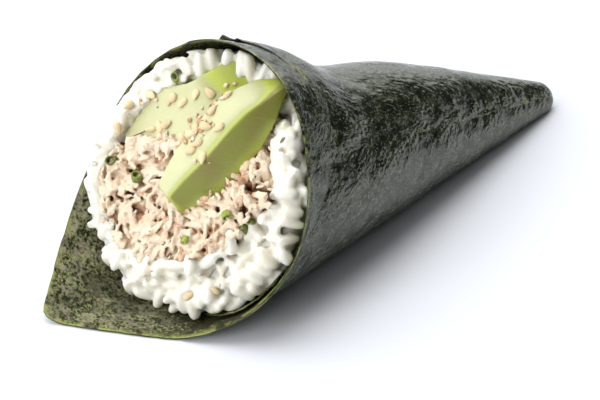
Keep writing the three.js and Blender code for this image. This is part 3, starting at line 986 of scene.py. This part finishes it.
def make_rice():
    """A smaller lumpy core, and grains stuck to each other over what shows of it."""
    colours = settings().colours
    core = node_copy("rice")
    bmesh.ops.subdivide_edges(core, edges=core.edges, cuts=1, use_grid_fill=True)
    core.normal_update()
    for vert in core.verts:
        wide, small = (noise.noise(vert.co / size) for size in CORE_LUMPS)
        vert.co -= vert.normal * (0.15 + (0.5 * wide + 0.3 * small)) * MM
    places = verts_of(core)
    shown = np.clip(1 + proud_of_mouth(places) / CORE_SHOWN, 0, 1)
    places -= np.outer(top_share(places) * shown * CORE_SET_BACK * MM, MOUTH_NORMAL)
    gap = (CORE_GAP[0] + CORE_GAP[1] * top_share(places)) * MM
    move_verts(core, within_wrap(places, gap))
    set_tone(core, core.verts, 0.5)
    # The core is painted a tenth darker than the grains, as painted shade in the gaps between them
    core_material = rice_material(colours, "rice_core", 0.9)
    finish_piece(core, "rice_core", core_material, replaced=["rice"])
    make_grains(rice_material(colours, "rice_grains", 1.0))


def make_grains(material):
    """Lays grains over the heap, pushes them apart, and joins them where they touch."""
    filling = settings().filling
    random = np.random.default_rng(filling.seed)
    half_length = filling.grain_length / 2
    radius = filling.grain_width / 2
    places, axes, facings = [], [], []
    for node, inset, spacing in GRAIN_LAYERS:
        spots, normals = spread_samples(node, spacing * MM, GRAINS_BEHIND, random)
        if node == "tuna_salad":
            over = beyond_limits(spots, TUNA_FOOT) > 0
            spots, normals = spots[over], normals[over]
        low = top_share(spots) < GRAINS_TOP
        spots, normals = spots[low], normals[low]
        places.append(spots - normals * inset * MM)
        axes.append(grain_axes(spots, normals, random))
        facings.append(normals)
    row, upright, facing = standing_row(half_length, random)
    places = np.concatenate([*places, row])
    axes = np.concatenate([*axes, upright])
    facings = np.concatenate([*facings, facing])
    places, axes = push_apart(
        places, axes, half_length - radius, radius * GRAIN_PRESS, PUSH_PASSES
    )
    places = within_wrap(places, radius * GRAIN_GAP)

    lengths = half_length * random.normal(1, 0.09, len(places))
    lengths[-len(row):] *= TOP_ROW_LENGTH
    copies = grain_shapes(places, axes, facings, lengths, radius, random)
    bm = toned_mesh(closed_up(fused(copies, RICE_SKIN), RICE_CLOSING, RICE_SKIN))
    smooth(bm, 2)
    skin = verts_of(bm)
    heights, normals = height_over("rice", skin)
    over_tuna = beyond_limits(skin, TUNA_FOOT) > -2 * MM
    beyond = np.where(over_tuna, 0, np.clip(heights - RICE_STAND_OUT, 0, RICE_DRAWN_IN))
    wanted = within_wrap(skin - normals * (0.8 * beyond)[:, None], RICE_GAP[0])
    skin = within_wrap(skin + eased(bm, wanted - skin, 6), RICE_GAP[1])
    move_verts(bm, skin)
    smooth(bm, 1)
    tones = random.uniform(0, 1, len(places))
    ball_offsets = (-1.4 * MM, 0, 1.4 * MM)
    balls = tree_of(np.concatenate([places + axes * offset for offset in ball_offsets]))
    set_values(bm, "tone", [tones[balls.find(place)[1] % len(places)] for place in skin])
    return thinned(finish_piece(bm, "rice_grains", material), RICE_THINNING)


def standing_row(half_length, random):
    """Grains that stand on end side by side, against the nori under the top of the rim."""
    up = unit(np.array([0, 0, 1]) - MOUTH_NORMAL * MOUTH_NORMAL[2])
    side = np.cross(MOUTH_NORMAL, up)
    turns = [np.radians(np.linspace(*TOP_ROW, count)) for count in TOP_ROW_COUNTS]
    turns = np.concatenate(turns)
    behind = np.repeat(TOP_ROW_BEHIND, TOP_ROW_COUNTS)
    turns += random.normal(0, math.radians(TOP_ROW_TURN), len(turns))
    ways = np.outer(np.cos(turns), up) + np.outer(np.sin(turns), side)
    depths = behind + random.uniform(-0.5, 0.7, len(turns)) * MM
    reached = MOUTH_CENTRE - depths[:, None] * MOUTH_NORMAL + ways * 40 * MM
    below = half_length * random.uniform(1.0, 1.45, (len(turns), 1))
    row = within_wrap(reached, TOP_ROW_GAP) - ways * below
    upright = ways + TOP_ROW_LEAN * MOUTH_NORMAL + random.normal(0, 0.2, row.shape)
    return row, unit(upright), np.tile(MOUTH_NORMAL, (len(row), 1))


def grain_axes(spots, normals, random):
    """Grains lie any way along the heap, but stand outwards under the top of the roll."""
    out = outward(spots)
    top = top_share(spots)[:, None]
    sideways = out - normals * (out * normals).sum(1, keepdims=True)
    loose = unit(sideways + random.normal(0, 0.75, spots.shape))
    tilt = normals * random.uniform(-0.3, 0.3, (len(spots), 1))
    upright = out + 0.35 * MOUTH_NORMAL + random.normal(0, 0.22, spots.shape)
    return unit((1 - top) * (loose + tilt) + top * 1.3 * upright)


BLUNTNESS = 0.36
FLATNESS = 0.88
LARGEST_BEND = 0.25  # of half a grain's width
NOTCH_DEPTH = 0.22


def grain_shapes(places, axes, facings, half_lengths, radius, random):
    """Grains: plump, blunt, a little bent and flattened, with a notch where the germ was."""
    ball = bmesh.new()
    bmesh.ops.create_uvsphere(ball, u_segments=12, v_segments=10, radius=1)
    copies, (x, y, z) = split_copies(ball, len(places))
    girth = random.normal(1, 0.08, (len(places), 1))
    bend = random.uniform(-LARGEST_BEND, LARGEST_BEND, (len(places), 1))
    notch = random.choice([-1, 1], (len(places), 1))
    slack = np.sqrt(np.maximum(1 - z * z, 1e-6))
    blunt = slack**-BLUNTNESS * (1 - 0.12 * z * notch)
    bite = NOTCH_DEPTH * np.maximum(0, z * notch - 0.55) * (x > 0)
    across = (x * blunt - bite) * radius * girth + bend * slack**2 * radius
    thick = y * blunt * radius * girth * FLATNESS
    shapes = np.stack([across, thick, z * half_lengths[:, None]], axis=-1)
    move_points(copies, placed(shapes, turns_of(axes, facings), places))
    return copies


def split_copies(shape, count):
    """A shape many times over in one mesh, and its points' x, y and z."""
    copies, points = copies_of(shape, count)
    return copies, points.T[:, None]


# ---- tuna salad ---------------------------------------------------------------------------------
TUNA_BEHIND = 5 * MM  # how far into the cone from its mouth there are flakes
CORE_BEHIND = 12 * MM  # and how far the core is kept under the back slice
TUNA_SKIN = 0.2 * MM
TUNA_THINNING = 0.45
TUNA_LUMP = 5.2 * MM  # from one lump to the next
TUNA_DEPTH = 2.2 * MM  # of the crevices between lumps
TUNA_HEIGHTS = 2.4 * MM  # from the deepest flakes to the highest ones, for their colours; the deepest are painted dark as painted shade
FLAKE_SPACING = 1.15 * MM
FLAKE_LIMITS = (-0.6 * MM, 0.5 * MM)  # past the slice over them, and over the rice under them
FLAKE_RELIEF = 0.2 * MM
DAB_SPACING = 2.4 * MM  # between dabs of dressing
DAB_LIMITS = (-1.2 * MM, 0)
DAB_GIRTH = 0.8
BIG_LUMP = APEX + np.array([-105.9, -7.0, 25.3]) * MM  # the pale lump under the front slice
BIG_LUMP_RADIUS = 5.5 * MM
BIG_LUMP_LIFT = 2.2 * MM


def in_big_lump(places):
    """1 inside the big pale lump, and down to 0 around it."""
    return np.clip(1.35 - np.linalg.norm(places - BIG_LUMP, axis=1) / BIG_LUMP_RADIUS, 0, 1)


def tuna_spots(spacing, limits, random):
    """Points over the heap that lie under the back slice and over the rice."""
    spots, normals = spread_samples("tuna_salad", spacing, TUNA_BEHIND, random)
    over, under = beyond_limits(spots, TUNA_TOP), beyond_limits(spots, TUNA_FOOT)
    shown = (over < limits[0]) & (under < limits[1])
    return spots[shown], normals[shown]


def make_tuna():
    """A core, and flakes in lumps over what shows of it, stuck together by their dressing."""
    material = tuna_material(settings().colours)
    core = node_copy("tuna_salad")
    bmesh.ops.subdivide_edges(core, edges=core.edges, cuts=1, use_grid_fill=True)
    core.normal_update()
    for vert in core.verts:
        vert.co -= vert.normal * (1.1 + 0.4 * noise.noise(vert.co / (2 * MM))) * MM
        if proud_of_mouth(vert.co) > -CORE_BEHIND:
            above = beyond_limits(np.array(vert.co), TUNA_TOP)
            vert.co -= Vector(TUNA_TOP[0][1]) * max(0, above) * 0.85
    # The core lies under the flakes, so it is painted half dark, as painted shade
    set_tone(core, core.verts, 0.2)
    finish_piece(core, "tuna_core", material, replaced=["tuna_salad"])
    make_flakes(material)


def make_flakes(material):
    """Lays flakes in lumps over the heap, with dabs of dressing between them, and joins them."""
    filling = settings().filling
    random = np.random.default_rng(filling.seed + 1)
    spots, normals = tuna_spots(FLAKE_SPACING, FLAKE_LIMITS, random)
    centres, outs = spread_samples("tuna_salad", TUNA_LUMP, TUNA_BEHIND, random)
    centres += unit(random.normal(size=centres.shape)) * 0.15 * TUNA_LUMP
    gaps = np.linalg.norm(spots[:, None] - centres[None], axis=2)
    lump = gaps.argmin(1)
    nearest = np.sort(gaps, axis=1)
    crown = np.clip((nearest[:, 1] - nearest[:, 0]) / (0.5 * TUNA_LUMP), 0, 1) ** 0.6
    grain_ways = unit(np.cross(outs, random.normal(size=outs.shape)))
    axes = grain_ways[lump] + random.normal(0, 0.28, spots.shape)
    axes += normals * random.normal(0, 0.3, (len(spots), 1))
    lift = (crown - 0.62) * TUNA_DEPTH + random.normal(0, 0.25, len(spots)) * MM
    length = filling.flake_length * random.uniform(0.45, 1.15, len(spots))

    big = in_big_lump(spots)
    axes += 1.3 * big[:, None] * (normals + random.normal(0, 0.5, spots.shape))
    lift += BIG_LUMP_LIFT * big
    places = spots + normals * lift[:, None]
    dabs, dab_normals = tuna_spots(DAB_SPACING, DAB_LIMITS, random)
    dabs = dabs - dab_normals * random.uniform(0.4, 1.3, (len(dabs), 1)) * MM
    places = np.concatenate([places, dabs])
    axes = np.concatenate([axes, np.cross(dab_normals, random.normal(size=dabs.shape))])
    facings = np.concatenate([normals, dab_normals])
    length = np.concatenate([length, random.uniform(2.6, 4, len(dabs)) * MM])
    girths = random.uniform(0.28, 0.5, len(places))
    girths[-len(dabs):] = DAB_GIRTH

    copies = flake_shapes(places, unit(axes), facings, length, girths, random)
    bm = toned_mesh(fused(copies, TUNA_SKIN))
    smooth(bm, 1)
    bm.normal_update()
    for vert in bm.verts:
        rough = noise.fractal(vert.co / (1.3 * MM), 0.8, 2.2, 3)
        vert.co += vert.normal * FLAKE_RELIEF * rough
    skin = verts_of(bm)
    heights, _ = height_over("tuna_salad", skin)
    heights -= (BIG_LUMP_LIFT - 0.4 * MM) * in_big_lump(skin)
    # The tone is the height over the heap: low places are painted dark as painted shade
    set_values(bm, "tone", np.clip(0.5 + heights / TUNA_HEIGHTS, 0, 1))
    return thinned(finish_piece(bm, "tuna_flakes", material), TUNA_THINNING)


def flake_shapes(places, axes, facings, lengths, girths, random):
    """Flakes: torn shreds of muscle, thicker in their middles."""
    ball = bmesh.new()
    bmesh.ops.create_icosphere(ball, subdivisions=3, radius=0.5)
    copies, (x, y, z) = split_copies(ball, len(places))
    shifts = random.uniform(-50, 50, (len(places), 3))
    points = np.stack([x[0], y[0], z[0]], axis=-1)
    rough = np.array([
        [1 + 0.6 * noise.noise(Vector(point * 4.0 + shift)) for point in points]
        for shift in shifts
    ])
    widths = (girths * lengths)[:, None]
    thickness = random.uniform(0.45, 0.8, (len(places), 1)) * widths
    x, y, z = x * rough * thickness, y * rough * widths, z * rough * lengths[:, None]
    shapes = np.stack([x, y, z], axis=-1)
    move_points(copies, placed(shapes, turns_of(axes, facings), places))
    return copies


# ---- avocado ------------------------------------------------------------------------------------
# Each slice follows its ridge, where its two cut faces meet. Places are from the cone's point, in
# millimetres. The girths are shares of the two widths, at even steps along the ridge.
FRONT_SLICE = {
    "ridge": [
        (-115.5, 8.6, 22.9),
        (-109.2, 2.9, 33.1),
        (-102.8, 0.1, 39.8),
        (-97.3, -1.2, 42.3),
        (-92.2, -2.0, 44.1),
    ],
    "face_way": (0.24, 0.96, 0.1),
    "face_width": 8.4,
    "face_girths": (0.6, 0.96, 1.0, 1.0, 0.9, 0.75, 0.3),
    "side_way": (0.33, -0.42, -0.85),
    "side_width": 8.2,
    "side_girths": (0.72, 1.0, 1.05, 1.0, 0.75, 0.42, 0.12),
}
BACK_SLICE = {
    "ridge": [
        (-111.0, 26.6, 25.5),
        (-109.8, 20.2, 28.0),
        (-107.2, 11.9, 31.7),
        (-102.8, 8.1, 34.5),
        (-94.7, 5.4, 38.2),
    ],
    "face_way": (0.51, 0.54, 0.67),
    "face_width": 11.6,
    "face_girths": (0.55, 0.9, 1.0, 1.0, 1.05, 1.05, 0.8),
    "side_way": (0.74, 0.12, -0.5),
    "side_width": 6,
    "side_girths": (0.5, 0.8, 1.0, 1.0, 1.0, 1.0, 0.8),
}
SLICE_STEPS = 40
SLICE_CUTS = (-0.3, -0.15, 0, 0.15, 0.3)  # across its other two ways
SLICE_BEVEL = 0.09  # of the block's sides
SLICE_END = 0.03  # of the slice's length, that each bevelled end takes up
SLICE_GAP = 0.3 * MM
SLICE_RELIEF = 0.25 * MM


def smooth_path(points, share):
    """A point on the smooth curve through some points, at a share of the way along it."""
    places = [2 * points[0] - points[1], *points, 2 * points[-1] - points[-2]]
    position = share * (len(points) - 1)
    index = min(int(position), len(points) - 2)
    t = position - index
    a, b, c, d = places[index : index + 4]
    square, cube = 2 * a - 5 * b + 4 * c - d, 3 * b - a - 3 * c + d
    return 0.5 * (2 * b + (c - a) * t + square * t**2 + cube * t**3)


def make_slice(name, node, slice_form, greenness, material):
    """Bends a bevelled and finely cut block along the slice's ridge."""
    bm = bmesh.new()
    bmesh.ops.create_cube(bm, size=1)
    bmesh.ops.bevel(
        bm,
        geom=bm.edges[:],
        offset=SLICE_BEVEL,
        segments=3,
        profile=0.5,
        affect="EDGES",
        material=-1,
    )
    cuts = [(0, step / SLICE_STEPS - 0.5) for step in range(1, SLICE_STEPS)]
    cuts += [(axis, cut) for axis in (1, 2) for cut in SLICE_CUTS]
    for axis, cut in cuts:
        place, way = [0, 0, 0], [0, 0, 0]
        place[axis], way[axis] = cut, 1
        geom = bm.verts[:] + bm.edges[:] + bm.faces[:]
        bmesh.ops.bisect_plane(bm, geom=geom, plane_co=place, plane_no=way)
    ridge = [Vector(point) for point in slice_form["ridge"]]
    face = Vector(slice_form["face_way"]).normalized() * slice_form["face_width"]
    side = Vector(slice_form["side_way"]).normalized() * slice_form["side_width"]
    steps = np.linspace(0, 1, len(slice_form["face_girths"]))
    layer = bm.verts.layers.float.new("green")
    for vert in bm.verts:
        along, u, v = (value + 0.5 for value in vert.co)
        ends = (0, SLICE_BEVEL, 1 - SLICE_BEVEL, 1)
        along = np.interp(along, ends, (0, SLICE_END, 1 - SLICE_END, 1))
        vert[layer] = greenness(along, u, v)
        place = smooth_path(ridge, along)
        place += face * u * np.interp(along, steps, slice_form["face_girths"])
        place += side * v * np.interp(along, steps, slice_form["side_girths"])
        vert.co = Vector(APEX) + place * MM
        vert.co += noise.noise_vector(vert.co / (6 * MM)) * SLICE_RELIEF
    move_verts(bm, within_wrap(verts_of(bm), SLICE_GAP))
    bmesh.ops.recalc_face_normals(bm, faces=bm.faces)
    return finish_piece(bm, name, material, replaced=[node])


def front_green(along, u, v):
    """The side face of the front slice was under the skin, and so was its upper end."""
    return math.exp(-u * 8) * (1 - 0.4 * v * v) + 2.6 * max(0, along - 0.68)


def back_green(along, u, v):
    """Only the upper end of the back slice was under the skin."""
    return 0.62 * max(0, min(1, (along + 0.25 * u - 0.8) * 5)) + 0.12 * u


def make_avocado():
    """Two slices of one avocado. Without a seed their relief would change from run to run."""
    noise.seed_set(settings().filling.seed + 5)
    material = avocado_material(settings().colours)
    make_slice("avocado_front", "avocado_slice_front", FRONT_SLICE, front_green, material)
    make_slice("avocado_back", "avocado_slice_back", BACK_SLICE, back_green, material)


# ---- toppings -----------------------------------------------------------------------------------
# Places in the camera's view, across and down, when the view is this wide and high. What they show
# carries the topping.
VIEW_WIDTH = 600
VIEW_HEIGHT = 400
SESAME_SPOTS = [
    (151, 95), (170, 101), (183, 103), (196, 95), (210, 93), (228, 95), (128, 106), (166, 125),
    (151, 129), (213, 110), (196, 129), (191, 134), (206, 126), (219, 128), (203, 158), (191, 151),
    (247, 166), (118, 128), (183, 139), (160, 127), (215, 290), (198, 143), (172, 99), (189, 296),
]
CHIVE_SPOTS = [(112, 161), (137, 177), (227, 215), (186, 240), (174, 78), (251, 222), (245, 229)]
CRUMB_CLUSTERS = [
    # across, down, spread, how many
    (203, 126, 7, 16), (190, 140, 5, 7), (164, 131, 6, 6), (213, 106, 6, 6), (150, 96, 6, 5),
    (228, 92, 5, 4), (132, 112, 5, 3), (200, 160, 6, 3), (150, 272, 7, 4), (205, 285, 7, 4),
]
SESAME_LIFT = 0.2 * MM  # from what carries it to a seed's middle
CRUMB_LIFT = 0.15 * MM
CHIVE_LIFT = 0.3 * MM
CHIVE_WALL = 0.3 * MM


def shown_surface():
    """Every shown piece of the roll in one tree for casting rays."""
    points, faces = [], []
    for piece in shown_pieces():
        start = len(points)
        points.extend(vert.co.copy() for vert in piece.data.vertices)
        faces.extend([start + i for i in polygon.vertices] for polygon in piece.data.polygons)
    return BVHTree.FromPolygons(points, faces)


def carriers(spots):
    """What shows at places in the camera's view: where it is, and the way that it faces."""
    surface = shown_surface()
    place, right, up, ahead = camera_frame()
    found = []
    for x, y in spots:
        across = (x - VIEW_WIDTH / 2) / VIEW_WIDTH * SENSOR_WIDTH / CAMERA_LENS
        down = (y - VIEW_HEIGHT / 2) / VIEW_WIDTH * SENSOR_WIDTH / CAMERA_LENS
        way = (ahead + right * across - up * down).normalized()
        hit, normal, _, _ = surface.ray_cast(place, way)
        if hit is None:
            raise RuntimeError(f"nothing carries a topping at {x}, {y}")
        found.append((hit, normal))
    return found


def make_sesame():
    """Sesame seeds: flat drops, lying on the filling."""
    filling = settings().filling
    random = np.random.default_rng(filling.seed + 2)
    bm = toned_mesh()
    for place, normal in carriers(SESAME_SPOTS):
        made = bmesh.ops.create_uvsphere(bm, u_segments=10, v_segments=8, radius=0.5)["verts"]
        axis = normal.cross(Vector(random.normal(size=3))).normalized()
        axis = (axis + normal * random.uniform(-0.15, 0.3)).normalized()
        turn = frame_of(axis, normal)
        length = filling.sesame_length * random.normal(1, 0.08)
        for vert in made:
            x, y, z = vert.co
            taper = 1 - 0.42 * (z * 2)
            local = Vector((x * 0.4 * taper, y * 0.62 * taper, z)) * length
            vert.co = place + normal * SESAME_LIFT + turn @ local
        set_tone(bm, made, random.uniform(0.2, 1))
    material = small_material("sesame", settings().colours.sesame, 0.4, 0.6)
    return finish_piece(bm, "sesame_seeds", material)


def make_crumbs():
    """Small crumbs of tuna and seed that fell on the slices and the rice."""
    random = np.random.default_rng(settings().filling.seed + 4)
    spots = []
    for x, y, spread, count in CRUMB_CLUSTERS:
        spots.extend(random.normal((x, y), spread) for _ in range(count))
    bm = toned_mesh()
    for place, normal in carriers(spots):
        made = bmesh.ops.create_icosphere(bm, subdivisions=2, radius=0.5)["verts"]
        turn = frame_of(Vector(random.normal(size=3)).normalized(), normal)
        size = random.uniform(0.5, 1.3) * MM
        shift = Vector(random.uniform(-50, 50, 3))
        for vert in made:
            x, y, z = vert.co
            rough = 1 + 0.7 * noise.noise(vert.co * 3 + shift)
            local = Vector((x * 0.6, y * 0.8, z)) * size * rough
            vert.co = place + normal * CRUMB_LIFT + turn @ local
        set_tone(bm, made, random.uniform(0.35, 0.9))
    return finish_piece(bm, "crumbs", tuna_material(settings().colours))


def make_chives():
    """Rings cut from chives, some on edge."""
    filling = settings().filling
    random = np.random.default_rng(filling.seed + 3)
    bm = toned_mesh()
    for place, normal in carriers(CHIVE_SPOTS):
        width = filling.chive_width * random.uniform(0.75, 1.1)
        made = bmesh.ops.create_cone(
            bm,
            segments=14,
            radius1=width / 2,
            radius2=width / 2 * 0.94,
            depth=width * 0.7,
            cap_ends=False,
        )["verts"]
        faces = list({face for vert in made for face in vert.link_faces})
        walls = bmesh.ops.solidify(bm, geom=faces, thickness=CHIVE_WALL)["geom"]
        verts = set(made) | {item for item in walls if isinstance(item, bmesh.types.BMVert)}
        axis = (normal + Vector(random.normal(0, 0.5, 3))).normalized()
        turn = frame_of(axis, normal)
        squash = random.uniform(0.6, 0.95)
        for vert in verts:
            vert.co.x *= squash
            vert.co = place + normal * CHIVE_LIFT + turn @ vert.co
        set_tone(bm, verts, random.uniform(0, 1))
    bmesh.ops.recalc_face_normals(bm, faces=bm.faces)
    material = small_material("chives", settings().colours.chive, 0.35, 0.2)
    return finish_piece(bm, "chives", material)


# ---- stage --------------------------------------------------------------------------------------
CAMERA_TARGET = Vector((-10.8, -7.19, 12.39)) * MM
CAMERA_DISTANCE = 650 * MM
CAMERA_AZIMUTH = math.radians(-42.341)
CAMERA_ELEVATION = math.radians(35.419)
CAMERA_ROLL = math.radians(-1.859)
CAMERA_LENS = 188.46
SENSOR_WIDTH = 36.0
LIGHTS = [
    # name, place, aims at, width, power in watts
    ("top_softbox", (0.03, 0.10, 0.79), (0.0, 0.0, 0.02), 0.58, 2.1),
    ("shadow_fill", (0.12, -0.34, 0.72), (0.0, 0.0, 0.02), 0.5, 0.5),
    ("mouth_fill", (-0.80, 0.0, 0.34), (-0.03, 0.0, 0.02), 0.45, 4.1),
]
FLOOR_SIZE = 3
FLOOR_DROP = 0.02 * MM  # keeps it clear of the sheet that lies on it
FLOOR_FADE = (0.2, 0.45)  # how far from the middle the painted falloff of light starts to darken it, and where it is at its darkest
FLOOR_DARK = 0.3  # of its colour, left there, as painted shade
SKY_BRIGHT_WAY = (-0.03, 1.0, 0.4)  # the sky is bright behind the roll, and dark on its near side
SKY_EDGE = (0.14, 0.38)  # where it starts to be bright, and where it is wholly so
SKY_DARK = (0.07, 0.072, 0.075)
SKY_BRIGHT = (1.62, 1.64, 1.68)


def camera_frame():
    """The camera's place, and its right, up and forward directions."""
    azimuth, elevation = CAMERA_AZIMUTH, CAMERA_ELEVATION
    ahead = Vector((
        -math.sin(azimuth) * math.cos(elevation),
        math.cos(azimuth) * math.cos(elevation),
        -math.sin(elevation),
    ))
    level = ahead.cross(Vector((0, 0, 1))).normalized()
    lift = level.cross(ahead)
    right = level * math.cos(CAMERA_ROLL) + lift * math.sin(CAMERA_ROLL)
    return CAMERA_TARGET - ahead * CAMERA_DISTANCE, right, right.cross(ahead), ahead


def make_camera():
    place, right, up, ahead = camera_frame()
    data = bpy.data.cameras.new("camera")
    data.lens = CAMERA_LENS
    data.sensor_width = SENSOR_WIDTH
    data.clip_start = 0.01
    camera = bpy.data.objects.new("camera", data)
    turn = Matrix((right, up, -ahead)).transposed()
    camera.matrix_world = Matrix.Translation(place) @ turn.to_4x4()
    bpy.context.scene.collection.objects.link(camera)
    bpy.context.scene.camera = camera


def floor_material(colour):
    """Pale where the roll lies, and painted darker far from it, as a painted pool of light."""
    shader = Shader("floor")
    far = shader.stretch(shader.length(shader.object_place), *FLOOR_FADE)
    base = shader.mix(far, colour, tinted(colour, (1, 1, 1), FLOOR_DARK))
    return shader.surface(Base_Color=base, Roughness=0.6)


def make_floor():
    bm = bmesh.new()
    bmesh.ops.create_grid(bm, x_segments=8, y_segments=8, size=FLOOR_SIZE)
    bmesh.ops.translate(bm, verts=bm.verts, vec=(0, 0, -FLOOR_DROP))
    mesh = bpy.data.meshes.new("floor")
    bm.to_mesh(mesh)
    bm.free()
    mesh.materials.append(floor_material(settings().colours.floor))
    floor = bpy.data.objects.new("floor", mesh)
    bpy.context.scene.collection.objects.link(floor)
    floor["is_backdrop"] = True


def make_lights():
    for name, place, target, width, power in LIGHTS:
        data = bpy.data.lights.new(name, "AREA")
        data.shape = "DISK"
        data.size = width
        data.energy = power
        light = bpy.data.objects.new(name, data)
        aim = Vector(target) - Vector(place)
        light.location = place
        light.rotation_mode = "QUATERNION"
        light.rotation_quaternion = aim.to_track_quat("-Z", "Y")
        bpy.context.scene.collection.objects.link(light)
    bpy.context.scene.world = make_sky()
    bpy.context.scene.view_settings.view_transform = "Standard"


def make_sky():
    """Soft light from all round, bright on one side and fading to dark on the other."""
    world = bpy.data.worlds.new("studio")
    world.use_nodes = True
    tree = world.node_tree
    direction = tree.nodes.new("ShaderNodeTexCoord").outputs["Generated"]
    towards = tree.nodes.new("ShaderNodeVectorMath")
    towards.operation = "DOT_PRODUCT"
    towards.inputs[1].default_value = Vector(SKY_BRIGHT_WAY).normalized()
    tree.links.new(direction, towards.inputs[0])
    ramp = tree.nodes.new("ShaderNodeValToRGB")
    ramp.color_ramp.interpolation = "EASE"
    ramp.color_ramp.elements[0].position = SKY_EDGE[0]
    ramp.color_ramp.elements[0].color = (*SKY_DARK, 1)
    ramp.color_ramp.elements[1].position = SKY_EDGE[1]
    ramp.color_ramp.elements[1].color = (*SKY_BRIGHT, 1)
    tree.links.new(towards.outputs["Value"], ramp.inputs["Fac"])
    tree.links.new(ramp.outputs["Color"], tree.nodes["Background"].inputs["Color"])
    return world


# ---- operators and panel ------------------------------------------------------------------------
class HANDROLL_OT_nori(bpy.types.Operator):
    """Wind the half sheet of nori to a cone"""

    bl_idname = "hand_roll.nori"
    bl_label = "Nori"

    def execute(self, context):
        make_nori()
        return {"FINISHED"}


class HANDROLL_OT_rice(bpy.types.Operator):
    """Fill the roll with rice"""

    bl_idname = "hand_roll.rice"
    bl_label = "Rice"

    def execute(self, context):
        make_rice()
        return {"FINISHED"}


class HANDROLL_OT_tuna(bpy.types.Operator):
    """Heap the tuna salad in the rice"""

    bl_idname = "hand_roll.tuna"
    bl_label = "Tuna Salad"

    def execute(self, context):
        make_tuna()
        return {"FINISHED"}


class HANDROLL_OT_avocado(bpy.types.Operator):
    """Lay the two avocado slices in the mouth"""

    bl_idname = "hand_roll.avocado"
    bl_label = "Avocado Slices"

    def execute(self, context):
        make_avocado()
        return {"FINISHED"}


class HANDROLL_OT_crumbs(bpy.types.Operator):
    """Scatter crumbs of tuna over the slices and the rice"""

    bl_idname = "hand_roll.crumbs"
    bl_label = "Crumbs"

    def execute(self, context):
        make_crumbs()
        return {"FINISHED"}


class HANDROLL_OT_sesame(bpy.types.Operator):
    """Scatter sesame seeds over the filling"""

    bl_idname = "hand_roll.sesame"
    bl_label = "Sesame Seeds"

    def execute(self, context):
        make_sesame()
        return {"FINISHED"}


class HANDROLL_OT_chives(bpy.types.Operator):
    """Scatter cut chives over the filling"""

    bl_idname = "hand_roll.chives"
    bl_label = "Chives"

    def execute(self, context):
        make_chives()
        return {"FINISHED"}


class HANDROLL_OT_stage(bpy.types.Operator):
    """Set up the floor, the lights and the camera"""

    bl_idname = "hand_roll.stage"
    bl_label = "Stage"

    def execute(self, context):
        make_camera()
        make_floor()
        make_lights()
        return {"FINISHED"}


OPERATORS = (
    HANDROLL_OT_nori,
    HANDROLL_OT_rice,
    HANDROLL_OT_tuna,
    HANDROLL_OT_avocado,
    HANDROLL_OT_crumbs,
    HANDROLL_OT_sesame,
    HANDROLL_OT_chives,
    HANDROLL_OT_stage,
)


class HANDROLL_PT_panel(bpy.types.Panel):
    """Lists the pieces of the hand roll and its settings"""

    bl_idname = "HANDROLL_PT_panel"
    bl_label = "Hand Roll"
    bl_space_type = "VIEW_3D"
    bl_region_type = "UI"
    bl_category = "Hand Roll"

    def draw(self, context):
        for operator in OPERATORS:
            self.layout.operator(operator.bl_idname)
        hand_roll = context.scene.hand_roll
        for group in (hand_roll.sheet, hand_roll.filling, hand_roll.colours):
            box = self.layout.box()
            for name in group.__annotations__:
                box.prop(group, name)


GROUPS = (HandRollSheet, HandRollFilling, HandRollColours, HandRollSettings)
CLASSES = (*GROUPS, *OPERATORS, HANDROLL_PT_panel)


def register():
    for cls in CLASSES:
        bpy.utils.register_class(cls)
    bpy.types.Scene.hand_roll = PointerProperty(type=HandRollSettings)


def unregister():
    del bpy.types.Scene.hand_roll
    for cls in reversed(CLASSES):
        bpy.utils.unregister_class(cls)


def main():
    register()
    bpy.ops.hand_roll.nori()
    bpy.ops.hand_roll.rice()
    bpy.ops.hand_roll.tuna()
    bpy.ops.hand_roll.avocado()
    bpy.ops.hand_roll.crumbs()
    bpy.ops.hand_roll.sesame()
    bpy.ops.hand_roll.chives()
    bpy.ops.hand_roll.stage()


if __name__ == "__main__":
    main()
